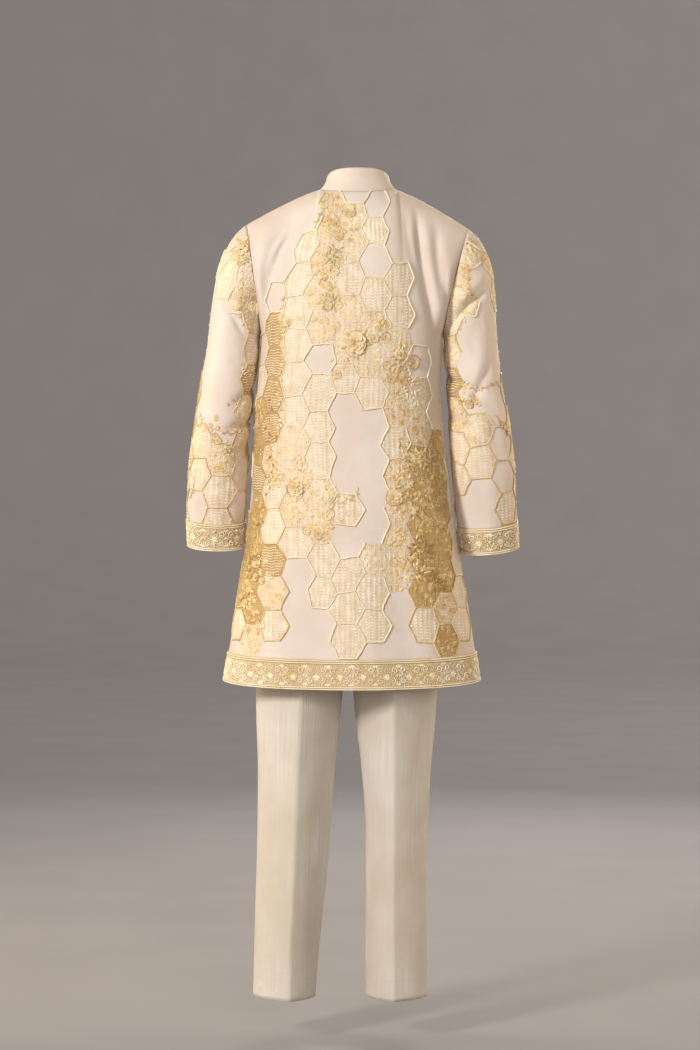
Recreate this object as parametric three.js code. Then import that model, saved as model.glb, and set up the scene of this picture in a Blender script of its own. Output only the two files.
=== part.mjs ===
// A south asian kurta and straight trousers, worn, with no wearer inside.
// Millimetres, +Z up. The front of the garment faces -Y and the wearer's left hand is at +X.
// The origin is between the neck ends of the two shoulder seams, where the kurta sits on the wearer.
import * as THREE from 'three';

// ---------------------------------------------------------------- driving sizes
// Heights (h) are from the ground that the wearer stands on. The garment is lowered to its origin at the end.

const CLOTH = 1.6; // thickness of a garment wall
const COLLAR_CLOTH = 2; // the collar is interfaced
const BAND_CLOTH = 1; // thickness of an applied band
const SEAM_GAP = 0.3; // between two pieces that are sewn together, and under what lies on a panel
const ARMHOLE_GAP = 0.48; // the sleeve's edge meets the panels' edges at a slant, so it stands further off
const COLLAR_GAP = 0.51; // and so does the collar's foot
const INSEAM_GAP = 0.21; // from each leg's inner edge to the middle of the seam
const BUTTON_GAP = 0.6; // from the placket's flat middle to a button's foot

const NECK_HEIGHT = 1595; // the neck ends of the shoulder seams, where the origin is
const NECK_HALF = 71.5; // from the centre to the neck end of a shoulder seam
const NECK_BACK = { y: 70, h: 1584 };
const NECK_FRONT = { y: -70, h: 1516 };
const NECK_SHARE = 0.35; // the share of a panel's half width that ends at the neckline
const SHOULDER_TIP = { left: { x: 209, h: 1530 }, right: { x: -207, h: 1522 } };
// The collar's top edge, which slopes down to the front: its heights, how far it leans in and, at the sides,
// how far it stands forward of its foot.
const COLLAR = {
  backH: 1630,
  sideH: 1613,
  frontH: 1553,
  leanBack: 13,
  leanSide: 11,
  leanFront: 5,
  forward: 20,
};

const CHEST_HEIGHT = 1318; // the level of the armpits
const KURTA_HEM_HEIGHT = 672; // the hem at its side corners
const KURTA_HEM_DIP = 12; // how much lower the hem is at the centre
const SLIT_TOP_HEIGHT = 906; // the side seams are open below this
const SLIT_SPREAD = 20; // between front and back at the hem corners
const HEM_BAND = 55; // height of the embroidered hem band
const CUFF_BAND = 51;

const NECK_SLIT_SHARE = 0.0025; // half the neck slit, as a share of the front's half width
const PLACKET_SHARE = 0.045; // half the placket, likewise about 17 mm
const PLACKET_FOOT_HEIGHT = 1190;
const BUTTON = { count: 5, radius: 6, height: 3.2, pitch: 62, first: 24 };

const TROUSER_HEM_HEIGHT = 77;
const CROTCH_HEIGHT = 816;
const WAIST_HEIGHT = 1052;
const WAISTBAND = 40;
const WAIST_CLOTH = 2.4; // the waistband is doubled
const CENTRE_SEAM_X = 20; // the trousers' centre seam

// ---------------------------------------------------------------- tables of sections

// The kurta's body, level by level: its left and right sides, its back and front, and the y of the side seam.
// "square" is 2 for an ellipse and more for a squarer section.
const BODY = [
  { h: 645, left: 256, right: -232, back: 152, front: -150, seam: 4, square: 2.15 },
  { h: 720, left: 244, right: -221, back: 149, front: -147, seam: 4, square: 2.15 },
  { h: 800, left: 231, right: -209, back: 145, front: -143, seam: 4, square: 2.2 },
  { h: 877, left: 219, right: -196, back: 141, front: -139, seam: 4, square: 2.25 },
  { h: 953, left: 208, right: -183, back: 135, front: -136, seam: 4, square: 2.3 },
  { h: 1029, left: 201, right: -174, back: 126, front: -133, seam: 3, square: 2.35 },
  { h: 1105, left: 197, right: -165, back: 119, front: -131, seam: 2, square: 2.4 },
  { h: 1181, left: 193, right: -158, back: 120, front: -131, seam: 1, square: 2.45 },
  { h: 1257, left: 186, right: -157, back: 127, front: -133, seam: 0, square: 2.5 },
  { h: 1318, left: 182, right: -159, back: 131, front: -131, seam: 0, square: 2.5 },
];

// The sleeves, ring by ring down the arm: the ring's centre and its half width and half depth.
const SLEEVE_LEFT = [
  { h: 1288, x: 237, y: 2, wide: 48.5, deep: 64 },
  { h: 1219, x: 247, y: 6, wide: 51, deep: 63 },
  { h: 1143, x: 256.5, y: 9, wide: 52.5, deep: 60 },
  { h: 1067, x: 263.5, y: 5, wide: 55.5, deep: 56 },
  { h: 991, x: 267.5, y: -5, wide: 55, deep: 51 },
  { h: 923, x: 269.5, y: -19, wide: 51, deep: 46 },
];
const SLEEVE_RIGHT = [
  { h: 1288, x: -213.5, y: 2, wide: 51, deep: 64 },
  { h: 1219, x: -219.5, y: 6, wide: 52.5, deep: 63 },
  { h: 1143, x: -228.5, y: 9, wide: 57.5, deep: 60 },
  { h: 1067, x: -236, y: 5, wide: 58.5, deep: 57 },
  { h: 991, x: -241.5, y: -6, wide: 57, deep: 52 },
  { h: 917, x: -248.5, y: -22, wide: 54.5, deep: 48 },
];

// The trouser legs, level by level: the side seam, the pressed crease and the inner edge, which is the inseam
// below the crotch and the centre seam above it. "press" is 1 for no crease and 0.5 for a sharp one.
const LEG_LEFT = [
  { h: 77, outer: 198, crease: 127, inner: 80, back: 80, front: -66, seam: 7, press: 0.5 },
  { h: 155, outer: 196, crease: 126, inner: 74, back: 80, front: -70, seam: 5, press: 0.5 },
  { h: 269, outer: 193, crease: 121, inner: 62, back: 82, front: -75, seam: 3, press: 0.5 },
  { h: 383, outer: 190, crease: 116, inner: 52, back: 85, front: -82, seam: 2, press: 0.5 },
  { h: 497, outer: 189, crease: 112, inner: 44, back: 93, front: -91, seam: 2, press: 0.52 },
  { h: 611, outer: 192, crease: 107, inner: 32, back: 103, front: -101, seam: 3, press: 0.56 },
  { h: 725, outer: 193, crease: 104, inner: 24, back: 112, front: -110, seam: 3, press: 0.65 },
  { h: 816, outer: 190, crease: 102, inner: 20, back: 116, front: -114, seam: 4, press: 0.75 },
  { h: 915, outer: 183, crease: 98, inner: 20, back: 114, front: -114, seam: 4, press: 0.85 },
  { h: 1000, outer: 173, crease: 94, inner: 20, back: 105, front: -109, seam: 3, press: 0.9 },
  { h: 1052, outer: 168, crease: 91, inner: 20, back: 99, front: -105, seam: 2, press: 0.9 },
];
const LEG_RIGHT = [
  { h: 77, outer: -130, crease: -67, inner: -14, back: 80, front: -66, seam: 7, press: 0.5 },
  { h: 155, outer: -130, crease: -67, inner: -13, back: 80, front: -70, seam: 5, press: 0.5 },
  { h: 269, outer: -130, crease: -67, inner: -14, back: 82, front: -75, seam: 3, press: 0.5 },
  { h: 383, outer: -132, crease: -67, inner: -14, back: 85, front: -82, seam: 2, press: 0.5 },
  { h: 497, outer: -137, crease: -67, inner: -7, back: 93, front: -91, seam: 2, press: 0.52 },
  { h: 611, outer: -147, crease: -67, inner: 6, back: 103, front: -101, seam: 3, press: 0.56 },
  { h: 725, outer: -153, crease: -65, inner: 15, back: 112, front: -110, seam: 3, press: 0.65 },
  { h: 816, outer: -152, crease: -62, inner: 20, back: 116, front: -114, seam: 4, press: 0.75 },
  { h: 915, outer: -146, crease: -58, inner: 20, back: 114, front: -114, seam: 4, press: 0.85 },
  { h: 1000, outer: -136, crease: -54, inner: 20, back: 105, front: -109, seam: 3, press: 0.9 },
  { h: 1052, outer: -131, crease: -51, inner: 20, back: 99, front: -105, seam: 2, press: 0.9 },
];
// The crotch seam, from the inseam round the seat: how far the inner edge has moved to the back and front,
// and how far the panel wraps the hips there.
const RISE = [
  { h: 77, back: 0, front: 0, seat: 0 },
  { h: 816, back: 0, front: 0, seat: 0 },
  { h: 846, back: 0.7, front: 0.64, seat: 0.55 },
  { h: 892, back: 0.95, front: 0.93, seat: 0.9 },
  { h: 942, back: 1, front: 1, seat: 1 },
  { h: 1052, back: 1, front: 1, seat: 1 },
];

// Folds: soft troughs (depth below 0) and ridges (above 0) along a line, with "bow" bending it at its middle.
// On the kurta's panels the line runs across (x) and up (h).
const FOLDS_BACK = [
  { from: 118, fromH: 1500, to: 168, toH: 1372, bow: 17, wide: 11, depth: -6 },
  { from: 104, fromH: 1470, to: 146, toH: 1350, bow: 12, wide: 15, depth: 3 },
  { from: -108, fromH: 1540, to: -140, toH: 1330, bow: 6, wide: 10, depth: -6 },
  { from: -128, fromH: 1530, to: -152, toH: 1360, bow: 6, wide: 9, depth: 4 },
  { from: -146, fromH: 1510, to: -162, toH: 1400, bow: 3, wide: 8, depth: -4 },
  { from: -139, fromH: 1310, to: -146, toH: 1080, bow: -5, wide: 14, depth: -4 },
  { from: 152, fromH: 1200, to: 172, toH: 950, bow: 4, wide: 22, depth: -4 },
  { from: 66, fromH: 920, to: 96, toH: 640, bow: -6, wide: 36, depth: -5 },
  { from: -60, fromH: 960, to: -108, toH: 640, bow: 8, wide: 34, depth: -6 },
];
const FOLDS_FRONT = [
  { from: 124, fromH: 1505, to: 158, toH: 1330, bow: 12, wide: 12, depth: -5 },
  { from: -114, fromH: 1510, to: -146, toH: 1325, bow: -10, wide: 12, depth: -6 },
  { from: -134, fromH: 1500, to: -156, toH: 1370, bow: -5, wide: 9, depth: 4 },
  { from: 112, fromH: 1250, to: 152, toH: 960, bow: 8, wide: 24, depth: 4 },
  { from: -98, fromH: 1220, to: -128, toH: 940, bow: -8, wide: 26, depth: 4 },
  { from: 84, fromH: 960, to: 112, toH: 640, bow: 6, wide: 36, depth: -5 },
  { from: -52, fromH: 920, to: -80, toH: 640, bow: -6, wide: 36, depth: -6 },
];
// On a sleeve the line runs round the arm, in degrees from the outside over the back, and up (h).
const FOLDS_SLEEVE_LEFT = [
  { from: 70, fromH: 1384, to: 140, toH: 1366, bow: 0, wide: 11, depth: -5 },
  { from: 48, fromH: 1402, to: 118, toH: 1318, bow: 0, wide: 12, depth: -5 },
  { from: 200, fromH: 1230, to: 110, toH: 1188, bow: 0, wide: 14, depth: -4 },
  { from: 190, fromH: 1160, to: 105, toH: 1140, bow: 0, wide: 13, depth: -5 },
  { from: 195, fromH: 1125, to: 120, toH: 1080, bow: 0, wide: 15, depth: -4 },
  { from: 250, fromH: 1180, to: 320, toH: 1140, bow: 0, wide: 16, depth: -4 },
  { from: 40, fromH: 1100, to: 70, toH: 960, bow: 0, wide: 18, depth: -3 },
];
const FOLDS_SLEEVE_RIGHT = [
  { from: 48, fromH: 1430, to: 132, toH: 1364, bow: 0, wide: 11, depth: 5 },
  { from: 52, fromH: 1404, to: 136, toH: 1342, bow: 0, wide: 11, depth: -6 },
  { from: 60, fromH: 1330, to: 84, toH: 1230, bow: 0, wide: 15, depth: 4 },
  { from: 190, fromH: 1250, to: 80, toH: 1208, bow: 0, wide: 13, depth: -5 },
  { from: 60, fromH: 1258, to: 100, toH: 1188, bow: 0, wide: 12, depth: -5 },
  { from: 185, fromH: 1175, to: 100, toH: 1140, bow: 0, wide: 15, depth: -4 },
  { from: 250, fromH: 1190, to: 320, toH: 1150, bow: 0, wide: 16, depth: -4 },
  { from: 95, fromH: 1080, to: 110, toH: 940, bow: 0, wide: 18, depth: -3 },
];
// On a leg the line runs across by the share of the way from the side seam to the inner edge, and up (h).
const LEG_REACH = 200; // the width of a leg's panel laid flat
const FOLDS_LEG = [
  { from: 0.1, fromH: 570, to: 0.38, toH: 460, bow: 0, wide: 18, depth: -3 },
  { from: 0.95, fromH: 520, to: 0.66, toH: 400, bow: 0, wide: 18, depth: -4 },
  { from: 0.9, fromH: 340, to: 0.7, toH: 250, bow: 0, wide: 16, depth: -2.5 },
];

// ---------------------------------------------------------------- small maths

const HALF_TURN = Math.PI;
const clamp = (value, low, high) => Math.min(high, Math.max(low, value));
const mix = (a, b, share) => a + (b - a) * share;
const ease = (low, high, value) => {
  const u = clamp((value - low) / (high - low), 0, 1);
  return u * u * (3 - 2 * u);
};
const vec = (x, y, z) => new THREE.Vector3(x, y, z);

// A smooth curve through one column of a table, which never swings past its rows.
function along(rows, column, h) {
  const last = rows.length - 1;
  const slope = (k) => (rows[k + 1][column] - rows[k][column]) / (rows[k + 1].h - rows[k].h);
  const tangent = (k) => {
    if (k === 0) return slope(0);
    if (k === last) return slope(last - 1);
    const [before, after] = [slope(k - 1), slope(k)];
    return before * after <= 0 ? 0 : (2 * before * after) / (before + after);
  };
  const rising = rows[last].h > rows[0].h;
  let i = 0;
  while (i < last - 1 && (rising ? h > rows[i + 1].h : h < rows[i + 1].h)) i++;
  const step = rows[i + 1].h - rows[i].h;
  const u = clamp((h - rows[i].h) / step, 0, 1);
  return (
    rows[i][column] * (1 + 2 * u) * (1 - u) ** 2 +
    rows[i + 1][column] * u * u * (3 - 2 * u) +
    step * (tangent(i) * u * (1 - u) ** 2 - tangent(i + 1) * u * u * (1 - u))
  );
}

// A curve from one point to another that leaves and arrives in the given directions.
function bridge(from, leave, to, arrive, u) {
  const reach = from.distanceTo(to);
  return vec(0, 0, 0)
    .addScaledVector(from, (1 + 2 * u) * (1 - u) ** 2)
    .addScaledVector(leave, reach * u * (1 - u) ** 2)
    .addScaledVector(to, u * u * (3 - 2 * u))
    .addScaledVector(arrive, -reach * u * u * (1 - u));
}

// How far the folds push the cloth in or out at a place across and up, both in millimetres.
// "scale" turns a fold's own measure across into millimetres.
function foldDepth(folds, across, up, scale = 1) {
  let depth = 0;
  for (const fold of folds) {
    const dx = (fold.to - fold.from) * scale;
    const dh = fold.toH - fold.fromH;
    const length = Math.hypot(dx, dh);
    const px = across - fold.from * scale;
    const ph = up - fold.fromH;
    const share = (px * dx + ph * dh) / (length * length);
    if (share < -0.2 || share > 1.2) continue;
    const bend = fold.bow * 4 * share * (1 - share);
    const away = (ph * dx - px * dh) / length - bend;
    const ends = ease(-0.2, 0.2, share) * ease(1.2, 0.75, share);
    depth += fold.depth * ends * Math.exp(-((away / fold.wide) ** 2));
  }
  return depth;
}

// ---------------------------------------------------------------- the forms

// The kurta's body at a level. s runs from -1 at the right side seam over the centre to 1 at the left one.
function bodySection(face, s, h) {
  const [left, right] = [along(BODY, 'left', h), along(BODY, 'right', h)];
  const open = SLIT_SPREAD * clamp((SLIT_TOP_HEIGHT - h) / (SLIT_TOP_HEIGHT - KURTA_HEM_HEIGHT), 0, 1);
  const side = face === 'back' ? 1 : -1;
  const seam = along(BODY, 'seam', h) + (side * (SEAM_GAP + open)) / 2;
  const power = 2 / along(BODY, 'square', h);
  const turn = (s * HALF_TURN) / 2;
  const across = Math.sign(s) * Math.abs(Math.sin(turn)) ** power;
  const out = Math.abs(Math.cos(turn)) ** power;
  return vec((left + right) / 2 + ((left - right) / 2) * across, mix(seam, along(BODY, face, h), out), h);
}

// The neckline and the shoulder seams, from the right shoulder tip (-1) over the neck to the left one (1).
function topLine(face, s) {
  const side = face === 'back' ? 1 : -1;
  const neck = face === 'back' ? NECK_BACK : NECK_FRONT;
  const share = Math.abs(s);
  if (share >= NECK_SHARE) {
    const u = (share - NECK_SHARE) / (1 - NECK_SHARE);
    const tip = s > 0 ? SHOULDER_TIP.left : SHOULDER_TIP.right;
    return vec(
      mix(Math.sign(s) * NECK_HALF, tip.x, u),
      (side * SEAM_GAP) / 2,
      mix(NECK_HEIGHT, tip.h, u ** 1.2),
    );
  }
  const turn = ((share / NECK_SHARE) * HALF_TURN) / 2;
  const out = Math.cos(turn);
  return vec(
    Math.sign(s) * NECK_HALF * Math.sin(turn),
    mix((side * SEAM_GAP) / 2, neck.y, out),
    mix(NECK_HEIGHT, neck.h, out ** 1.4),
  );
}

// A point of the kurta's back or front. t runs from 0 at the hem over 1 at the armpits to 2 at the top line.
function kurtaBase(face, s, t) {
  if (t <= 1) {
    const hem = KURTA_HEM_HEIGHT - KURTA_HEM_DIP * Math.cos((s * HALF_TURN) / 2);
    return bodySection(face, s, mix(hem, CHEST_HEIGHT, t));
  }
  const side = face === 'back' ? 1 : -1;
  const SHOULDER_SHARE = 0.55; // outside this the cloth goes over the shoulder's round end
  const outer = ease(SHOULDER_SHARE, 1, Math.abs(s));
  const middle = 1 - ease(0, NECK_SHARE, Math.abs(s));
  const leave = vec(Math.sign(s) * 0.06 * outer, side * 1.5 * outer, mix(1, 0.75, outer));
  // Over the shoulder the cloth arrives level, and at the neckline it still rises.
  const arrive = vec(0, -side * mix(1, 0.5, middle), 0.9 * middle);
  return bridge(bodySection(face, s, CHEST_HEIGHT), leave, topLine(face, s), arrive, t - 1);
}
function kurtaPoint(face, s, t) {
  const base = kurtaBase(face, s, t);
  const folds = face === 'back' ? FOLDS_BACK : FOLDS_FRONT;
  const calm = ease(1, 0.88, Math.abs(s)) * ease(2, 1.9, t);
  base.y += (face === 'back' ? 1 : -1) * calm * foldDepth(folds, base.x, base.z);
  return base;
}

// The armhole's edge, turned round the arm: 0 at the shoulder tip, 1 at the armpit, then over the front to 2.
function armhole(hand, turn) {
  const s = hand === 'left' ? 1 : -1;
  const edge = turn <= 1 ? kurtaBase('back', s, 2 - turn) : kurtaBase('front', s, turn);
  // Back and front meet in one point above and below the arm.
  const NEAR = 0.06; // the share of a half turn over which they come together
  const meet = ease(NEAR, 0, Math.abs(turn - 1)) + ease(NEAR, 0, Math.min(turn, 2 - turn));
  edge.y *= 1 - 0.9 * clamp(meet, 0, 1);
  edge.x += s * ARMHOLE_GAP;
  return edge;
}

// A ring of the sleeve at a level, square to the arm.
function sleeveRing(hand, turn, h) {
  const rows = hand === 'left' ? SLEEVE_LEFT : SLEEVE_RIGHT;
  const s = hand === 'left' ? 1 : -1;
  const STEP = 4; // half the stretch of arm that gives the ring its tilt
  const level = Math.max(h, rows[rows.length - 1].h + STEP);
  const [above, below] = [level + STEP, level - STEP];
  const axis = vec(
    along(rows, 'x', below) - along(rows, 'x', above),
    along(rows, 'y', below) - along(rows, 'y', above),
    below - above,
  ).normalize();
  const outward = vec(s, 0, 0).addScaledVector(axis, -s * axis.x).normalize();
  const backward = vec(0, 1, 0).addScaledVector(axis, -axis.y).normalize();
  const angle = turn * HALF_TURN;
  return vec(along(rows, 'x', h), along(rows, 'y', h), h)
    .addScaledVector(outward, along(rows, 'wide', h) * Math.cos(angle))
    .addScaledVector(backward, along(rows, 'deep', h) * Math.sin(angle));
}

// A point of a sleeve. turn is 0 at the outside, 0.5 at the back, 1 under the arm and 1.5 at the front.
// t runs from 0 at the armhole over 1 at the first whole ring to 2 at the cuff.
function sleeveBase(hand, turn, t) {
  const rows = hand === 'left' ? SLEEVE_LEFT : SLEEVE_RIGHT;
  const first = rows[0].h;
  if (t >= 1) return sleeveRing(hand, turn, mix(first, rows[rows.length - 1].h, t - 1));
  const s = hand === 'left' ? 1 : -1;
  const top = (1 + Math.cos(turn * HALF_TURN)) / 2;
  const behind = Math.sin(turn * HALF_TURN);
  const leave = vec(s * mix(0.55, 0.76, top), behind * 0.35, mix(-0.8, -0.5, top));
  const arrive = vec(s * 0.12, 0, -1);
  return bridge(armhole(hand, turn), leave, sleeveRing(hand, turn, first), arrive, t);
}
function sleevePoint(hand, turn, t) {
  const base = sleeveBase(hand, turn, t);
  const folds = hand === 'left' ? FOLDS_SLEEVE_LEFT : FOLDS_SLEEVE_RIGHT;
  const rows = hand === 'left' ? SLEEVE_LEFT : SLEEVE_RIGHT;
  const level = Math.min(base.z, rows[0].h);
  const centre = vec(along(rows, 'x', level), along(rows, 'y', level), base.z);
  const reach = along(rows, 'deep', level);
  const calm = ease(0, 0.35, t) * ease(2, 1.85, t);
  const perDegree = (reach * HALF_TURN) / 180;
  const depth = calm * foldDepth(folds, turn * HALF_TURN * reach, base.z, perDegree);
  const out = base.clone().sub(centre).setZ(0).normalize();
  return base.addScaledVector(out, depth);
}

// A point of a trouser panel. s runs from 0 at the side seam over 0.5 at the crease to 1 at the inner edge.
function trouserBase(leg, face, s, h) {
  const rows = leg === 'left' ? LEG_LEFT : LEG_RIGHT;
  const hand = leg === 'left' ? 1 : -1;
  const side = face === 'back' ? 1 : -1;
  const seam = along(rows, 'seam', h) + (side * SEAM_GAP) / 2;
  const crest = along(rows, face, h);
  const press = along(rows, 'press', h);
  const seat = along(RISE, 'seat', h);
  const creaseX = along(rows, 'crease', h);
  const outerX = along(rows, 'outer', h);
  const innerX = along(rows, 'inner', h) + hand * INSEAM_GAP;
  const innerY = mix(seam, crest, along(RISE, face, h));
  const bend = (a, b, c, u) => a * (1 - u) ** 2 + 2 * b * u * (1 - u) + c * u * u;
  if (s <= 0.5) {
    const u = s * 2;
    return vec(bend(outerX, outerX, creaseX, u), bend(seam, mix(seam, crest, press), crest, u), h);
  }
  const u = s * 2 - 1;
  const midX = mix(innerX, mix(creaseX, innerX, 0.5), seat);
  const midY = mix(mix(innerY, crest, press), innerY, seat);
  return vec(bend(creaseX, midX, innerX, u), bend(crest, midY, innerY, u), h);
}
function trouserPoint(leg, face, s, h) {
  const base = trouserBase(leg, face, s, h);
  const calm = ease(0, 0.12, s) * ease(1, 0.88, s) * ease(0, 0.06, Math.abs(s - 0.5));
  const depth = calm * foldDepth(FOLDS_LEG, s * LEG_REACH, h, LEG_REACH);
  base.y += (face === 'back' ? 1 : -1) * depth;
  return base;
}

// The waistband's line: turn is 0 at the left side seam, 0.5 at the back, 1 at the right, 1.5 at the front.
function waistPoint(turn, h) {
  const face = turn <= 1 ? 'back' : 'front';
  const round = turn <= 1 ? turn : 2 - turn;
  const leg = round <= 0.5 ? 'left' : 'right';
  const base = trouserBase(leg, face, round <= 0.5 ? round * 2 : 2 - round * 2, WAIST_HEIGHT);
  if (round === 0 || round === 1) base.y = along(LEG_LEFT, 'seam', WAIST_HEIGHT);
  if (round === 0.5) base.x = CENTRE_SEAM_X;
  return base.setZ(h);
}

// ---------------------------------------------------------------- cloth walls

// A wall of cloth over a grid. point(u, v) gives the form that its outer face follows, and "facing" is 1 or
// -1 for the side its back is on. A closed wall joins its last column to its first. "lift" makes a wall that
// lies on the form instead, that far off it. gap(i, j) is true for a cell of the grid that is cut out.
function wall({ point, us, vs, closed = false, facing = 1, thick = CLOTH, lift = 0, gap = () => false }) {
  const [columns, rows] = [us.length, vs.length];
  const NUDGE = 0.02; // the share of a grid step that the slope is measured over
  const nudge = (list, k) => [
    mix(list[k], list[Math.max(0, k - 1)], NUDGE),
    mix(list[k], list[Math.min(list.length - 1, k + 1)], NUDGE),
  ];
  const wrap = (u) => (closed ? (u + 2) % 2 : u);
  const outward = (i, j) => {
    const [u0, u1] = closed ? [us[i] - NUDGE / 5, us[i] + NUDGE / 5] : nudge(us, i);
    const [v0, v1] = nudge(vs, j);
    const du = point(wrap(u1), vs[j]).sub(point(wrap(u0), vs[j]));
    const dv = point(us[i], v1).sub(point(us[i], v0));
    return du.cross(dv).normalize().multiplyScalar(facing);
  };
  const positions = [];
  const [outerDepth, innerDepth] = lift ? [lift + thick, lift] : [0, -thick];
  for (const depth of [outerDepth, innerDepth])
    for (let j = 0; j < rows; j++)
      for (let i = 0; i < columns; i++) {
        const place = point(us[i], vs[j]).addScaledVector(outward(i, j), depth);
        positions.push(place.x, place.y, place.z);
      }
  const outer = (i, j) => j * columns + (i % columns);
  const inner = (i, j) => columns * rows + outer(i, j);
  const across = closed ? columns : columns - 1;
  const cloth = (i, j) => {
    const column = closed ? (i + across) % across : i;
    return column >= 0 && column < across && j >= 0 && j < rows - 1 && !gap(column, j);
  };
  const faces = [];
  const quad = (a, b, c, d) => (facing > 0 ? faces.push(a, b, c, a, c, d) : faces.push(a, c, b, a, d, c));
  for (let j = 0; j < rows - 1; j++)
    for (let i = 0; i < across; i++) {
      if (!cloth(i, j)) continue;
      quad(outer(i, j), outer(i + 1, j), outer(i + 1, j + 1), outer(i, j + 1));
      quad(inner(i, j), inner(i, j + 1), inner(i + 1, j + 1), inner(i + 1, j));
      if (!cloth(i, j - 1)) quad(outer(i, j), inner(i, j), inner(i + 1, j), outer(i + 1, j));
      if (!cloth(i, j + 1)) quad(outer(i, j + 1), outer(i + 1, j + 1), inner(i + 1, j + 1), inner(i, j + 1));
      if (!cloth(i - 1, j)) quad(outer(i, j), outer(i, j + 1), inner(i, j + 1), inner(i, j));
      if (!cloth(i + 1, j)) quad(outer(i + 1, j), inner(i + 1, j), inner(i + 1, j + 1), outer(i + 1, j + 1));
    }
  const geometry = new THREE.BufferGeometry();
  geometry.setAttribute('position', new THREE.Float32BufferAttribute(positions, 3));
  geometry.setIndex(faces);
  return geometry;
}

const spaced = (from, to, count) => Array.from({ length: count + 1 }, (_, k) => mix(from, to, k / count));
const around = (count) => Array.from({ length: count }, (_, k) => (2 * k) / count);

// ---------------------------------------------------------------- finishes

const finish = (color, roughness, metalness = 0) =>
  new THREE.MeshStandardMaterial({ color, roughness, metalness });
const silk = finish(0xe8d6c4, 0.55);
const gold = finish(0xcfab6a, 0.42, 0.35);
const cotton = finish(0xe4d6bb, 0.75);
const pearl = finish(0xefe6d6, 0.25);

const garment = new THREE.Group();
const worn = new THREE.Group();
worn.position.z = -NECK_HEIGHT;
garment.add(worn);
function sew(name, geometry, material) {
  geometry.computeVertexNormals();
  const mesh = new THREE.Mesh(geometry, material);
  mesh.name = name;
  worn.add(mesh);
  return mesh;
}

// ---------------------------------------------------------------- the kurta's panels and bands

// Grid lines of the panels: the neck slit, the placket's edge, the neckline, then closer over the shoulder.
const NEAR_PLACKET = 0.1;
const NEAR_SEAM = 0.95;
const halfColumns = [
  NECK_SLIT_SHARE,
  PLACKET_SHARE,
  ...spaced(NEAR_PLACKET, NECK_SHARE, 4),
  ...spaced(NECK_SHARE, NEAR_SEAM, 9).slice(1),
  1,
];
const panelColumns = [...halfColumns.toReversed().map((s) => -s), ...halfColumns];
const hemBandTop = HEM_BAND / (CHEST_HEIGHT - KURTA_HEM_HEIGHT);
const placketFoot = (PLACKET_FOOT_HEIGHT - KURTA_HEM_HEIGHT) / (CHEST_HEIGHT - KURTA_HEM_HEIGHT);
const BODY_ROWS = 9;
const CHEST_ROWS = 3;
const YOKE_ROWS = 8;
const hemRows = spaced(0, hemBandTop, 1);
const panelRows = [
  ...hemRows,
  ...spaced(hemBandTop, placketFoot, BODY_ROWS).slice(1),
  ...spaced(placketFoot, 1, CHEST_ROWS).slice(1),
  ...spaced(1, 2, YOKE_ROWS).slice(1),
];
const facingOf = (face) => (face === 'back' ? -1 : 1);
const slitColumn = panelColumns.indexOf(-NECK_SLIT_SHARE);
const slitFoot = panelRows.indexOf(placketFoot) + 1;

for (const face of ['back', 'front']) {
  const point = (s, t) => kurtaPoint(face, s, t);
  const neckSlit = (i, j) => face === 'front' && i === slitColumn && j >= slitFoot;
  sew(
    `kurta_${face}`,
    wall({ point, us: panelColumns, vs: panelRows, facing: facingOf(face), gap: neckSlit }),
    silk,
  );
  sew(
    `kurta_hem_band_${face}`,
    wall({ point, us: panelColumns, vs: hemRows, facing: facingOf(face), thick: BAND_CLOTH, lift: SEAM_GAP }),
    gold,
  );
}

// ---------------------------------------------------------------- the collar and the front opening

// The stand collar runs from its left front end round the nape to the right one, on the panels' neckline.
// rise goes from 0 at the seam to 1 at the edge, and the collar leans in most near its foot.
function collarPoint(turn, rise) {
  const face = turn > 0 && turn < 1 ? 'back' : 'front';
  const behind = 1 - 2 * turn;
  const before = turn <= 0 ? 1 + 2 * turn : 2 * turn - 3;
  const s = (face === 'back' ? behind : before) * NECK_SHARE;
  const part = Math.cos(((s / NECK_SHARE) * HALF_TURN) / 2);
  const back = face === 'back' ? part : -part;
  const edge = COLLAR.sideH + (back * (COLLAR.backH - COLLAR.frontH)) / 2;
  const sag = COLLAR.sideH - (COLLAR.backH + COLLAR.frontH) / 2;
  const lean = mix(COLLAR.leanSide, face === 'back' ? COLLAR.leanBack : COLLAR.leanFront, part);
  const place = topLine(face, s);
  const inward = vec(-place.x, -place.y, 0).normalize();
  place.addScaledVector(inward, lean * Math.sin((rise * HALF_TURN) / 2));
  place.y -= COLLAR.forward * (1 - part * part) * rise;
  return place.setZ(mix(place.z + COLLAR_GAP, edge - sag * back * back, rise));
}
const neckColumns = halfColumns.filter((s) => s <= NECK_SHARE).map((s) => s / NECK_SHARE);
const collarTurns = [
  ...neckColumns.map((share) => (share - 1) / 2),
  ...neckColumns.toReversed().slice(1).map((share) => (1 - share) / 2),
  ...neckColumns.map((share) => (1 + share) / 2),
  ...neckColumns.toReversed().slice(1).map((share) => (3 - share) / 2),
];
const COLLAR_ROWS = 3;
const collarRises = spaced(0, 1, COLLAR_ROWS);
const collarCloth = { point: collarPoint, us: collarTurns, vs: collarRises, thick: COLLAR_CLOTH };
sew('kurta_collar', wall(collarCloth), silk);

const placketColumns = panelColumns.filter((s) => Math.abs(s) <= PLACKET_SHARE);
const placketRows = panelRows.filter((t) => t >= placketFoot);
const frontPoint = (s, t) => kurtaPoint('front', s, t);
sew(
  'kurta_placket',
  wall({ point: frontPoint, us: placketColumns, vs: placketRows, thick: BAND_CLOTH, lift: SEAM_GAP }),
  silk,
);

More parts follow.
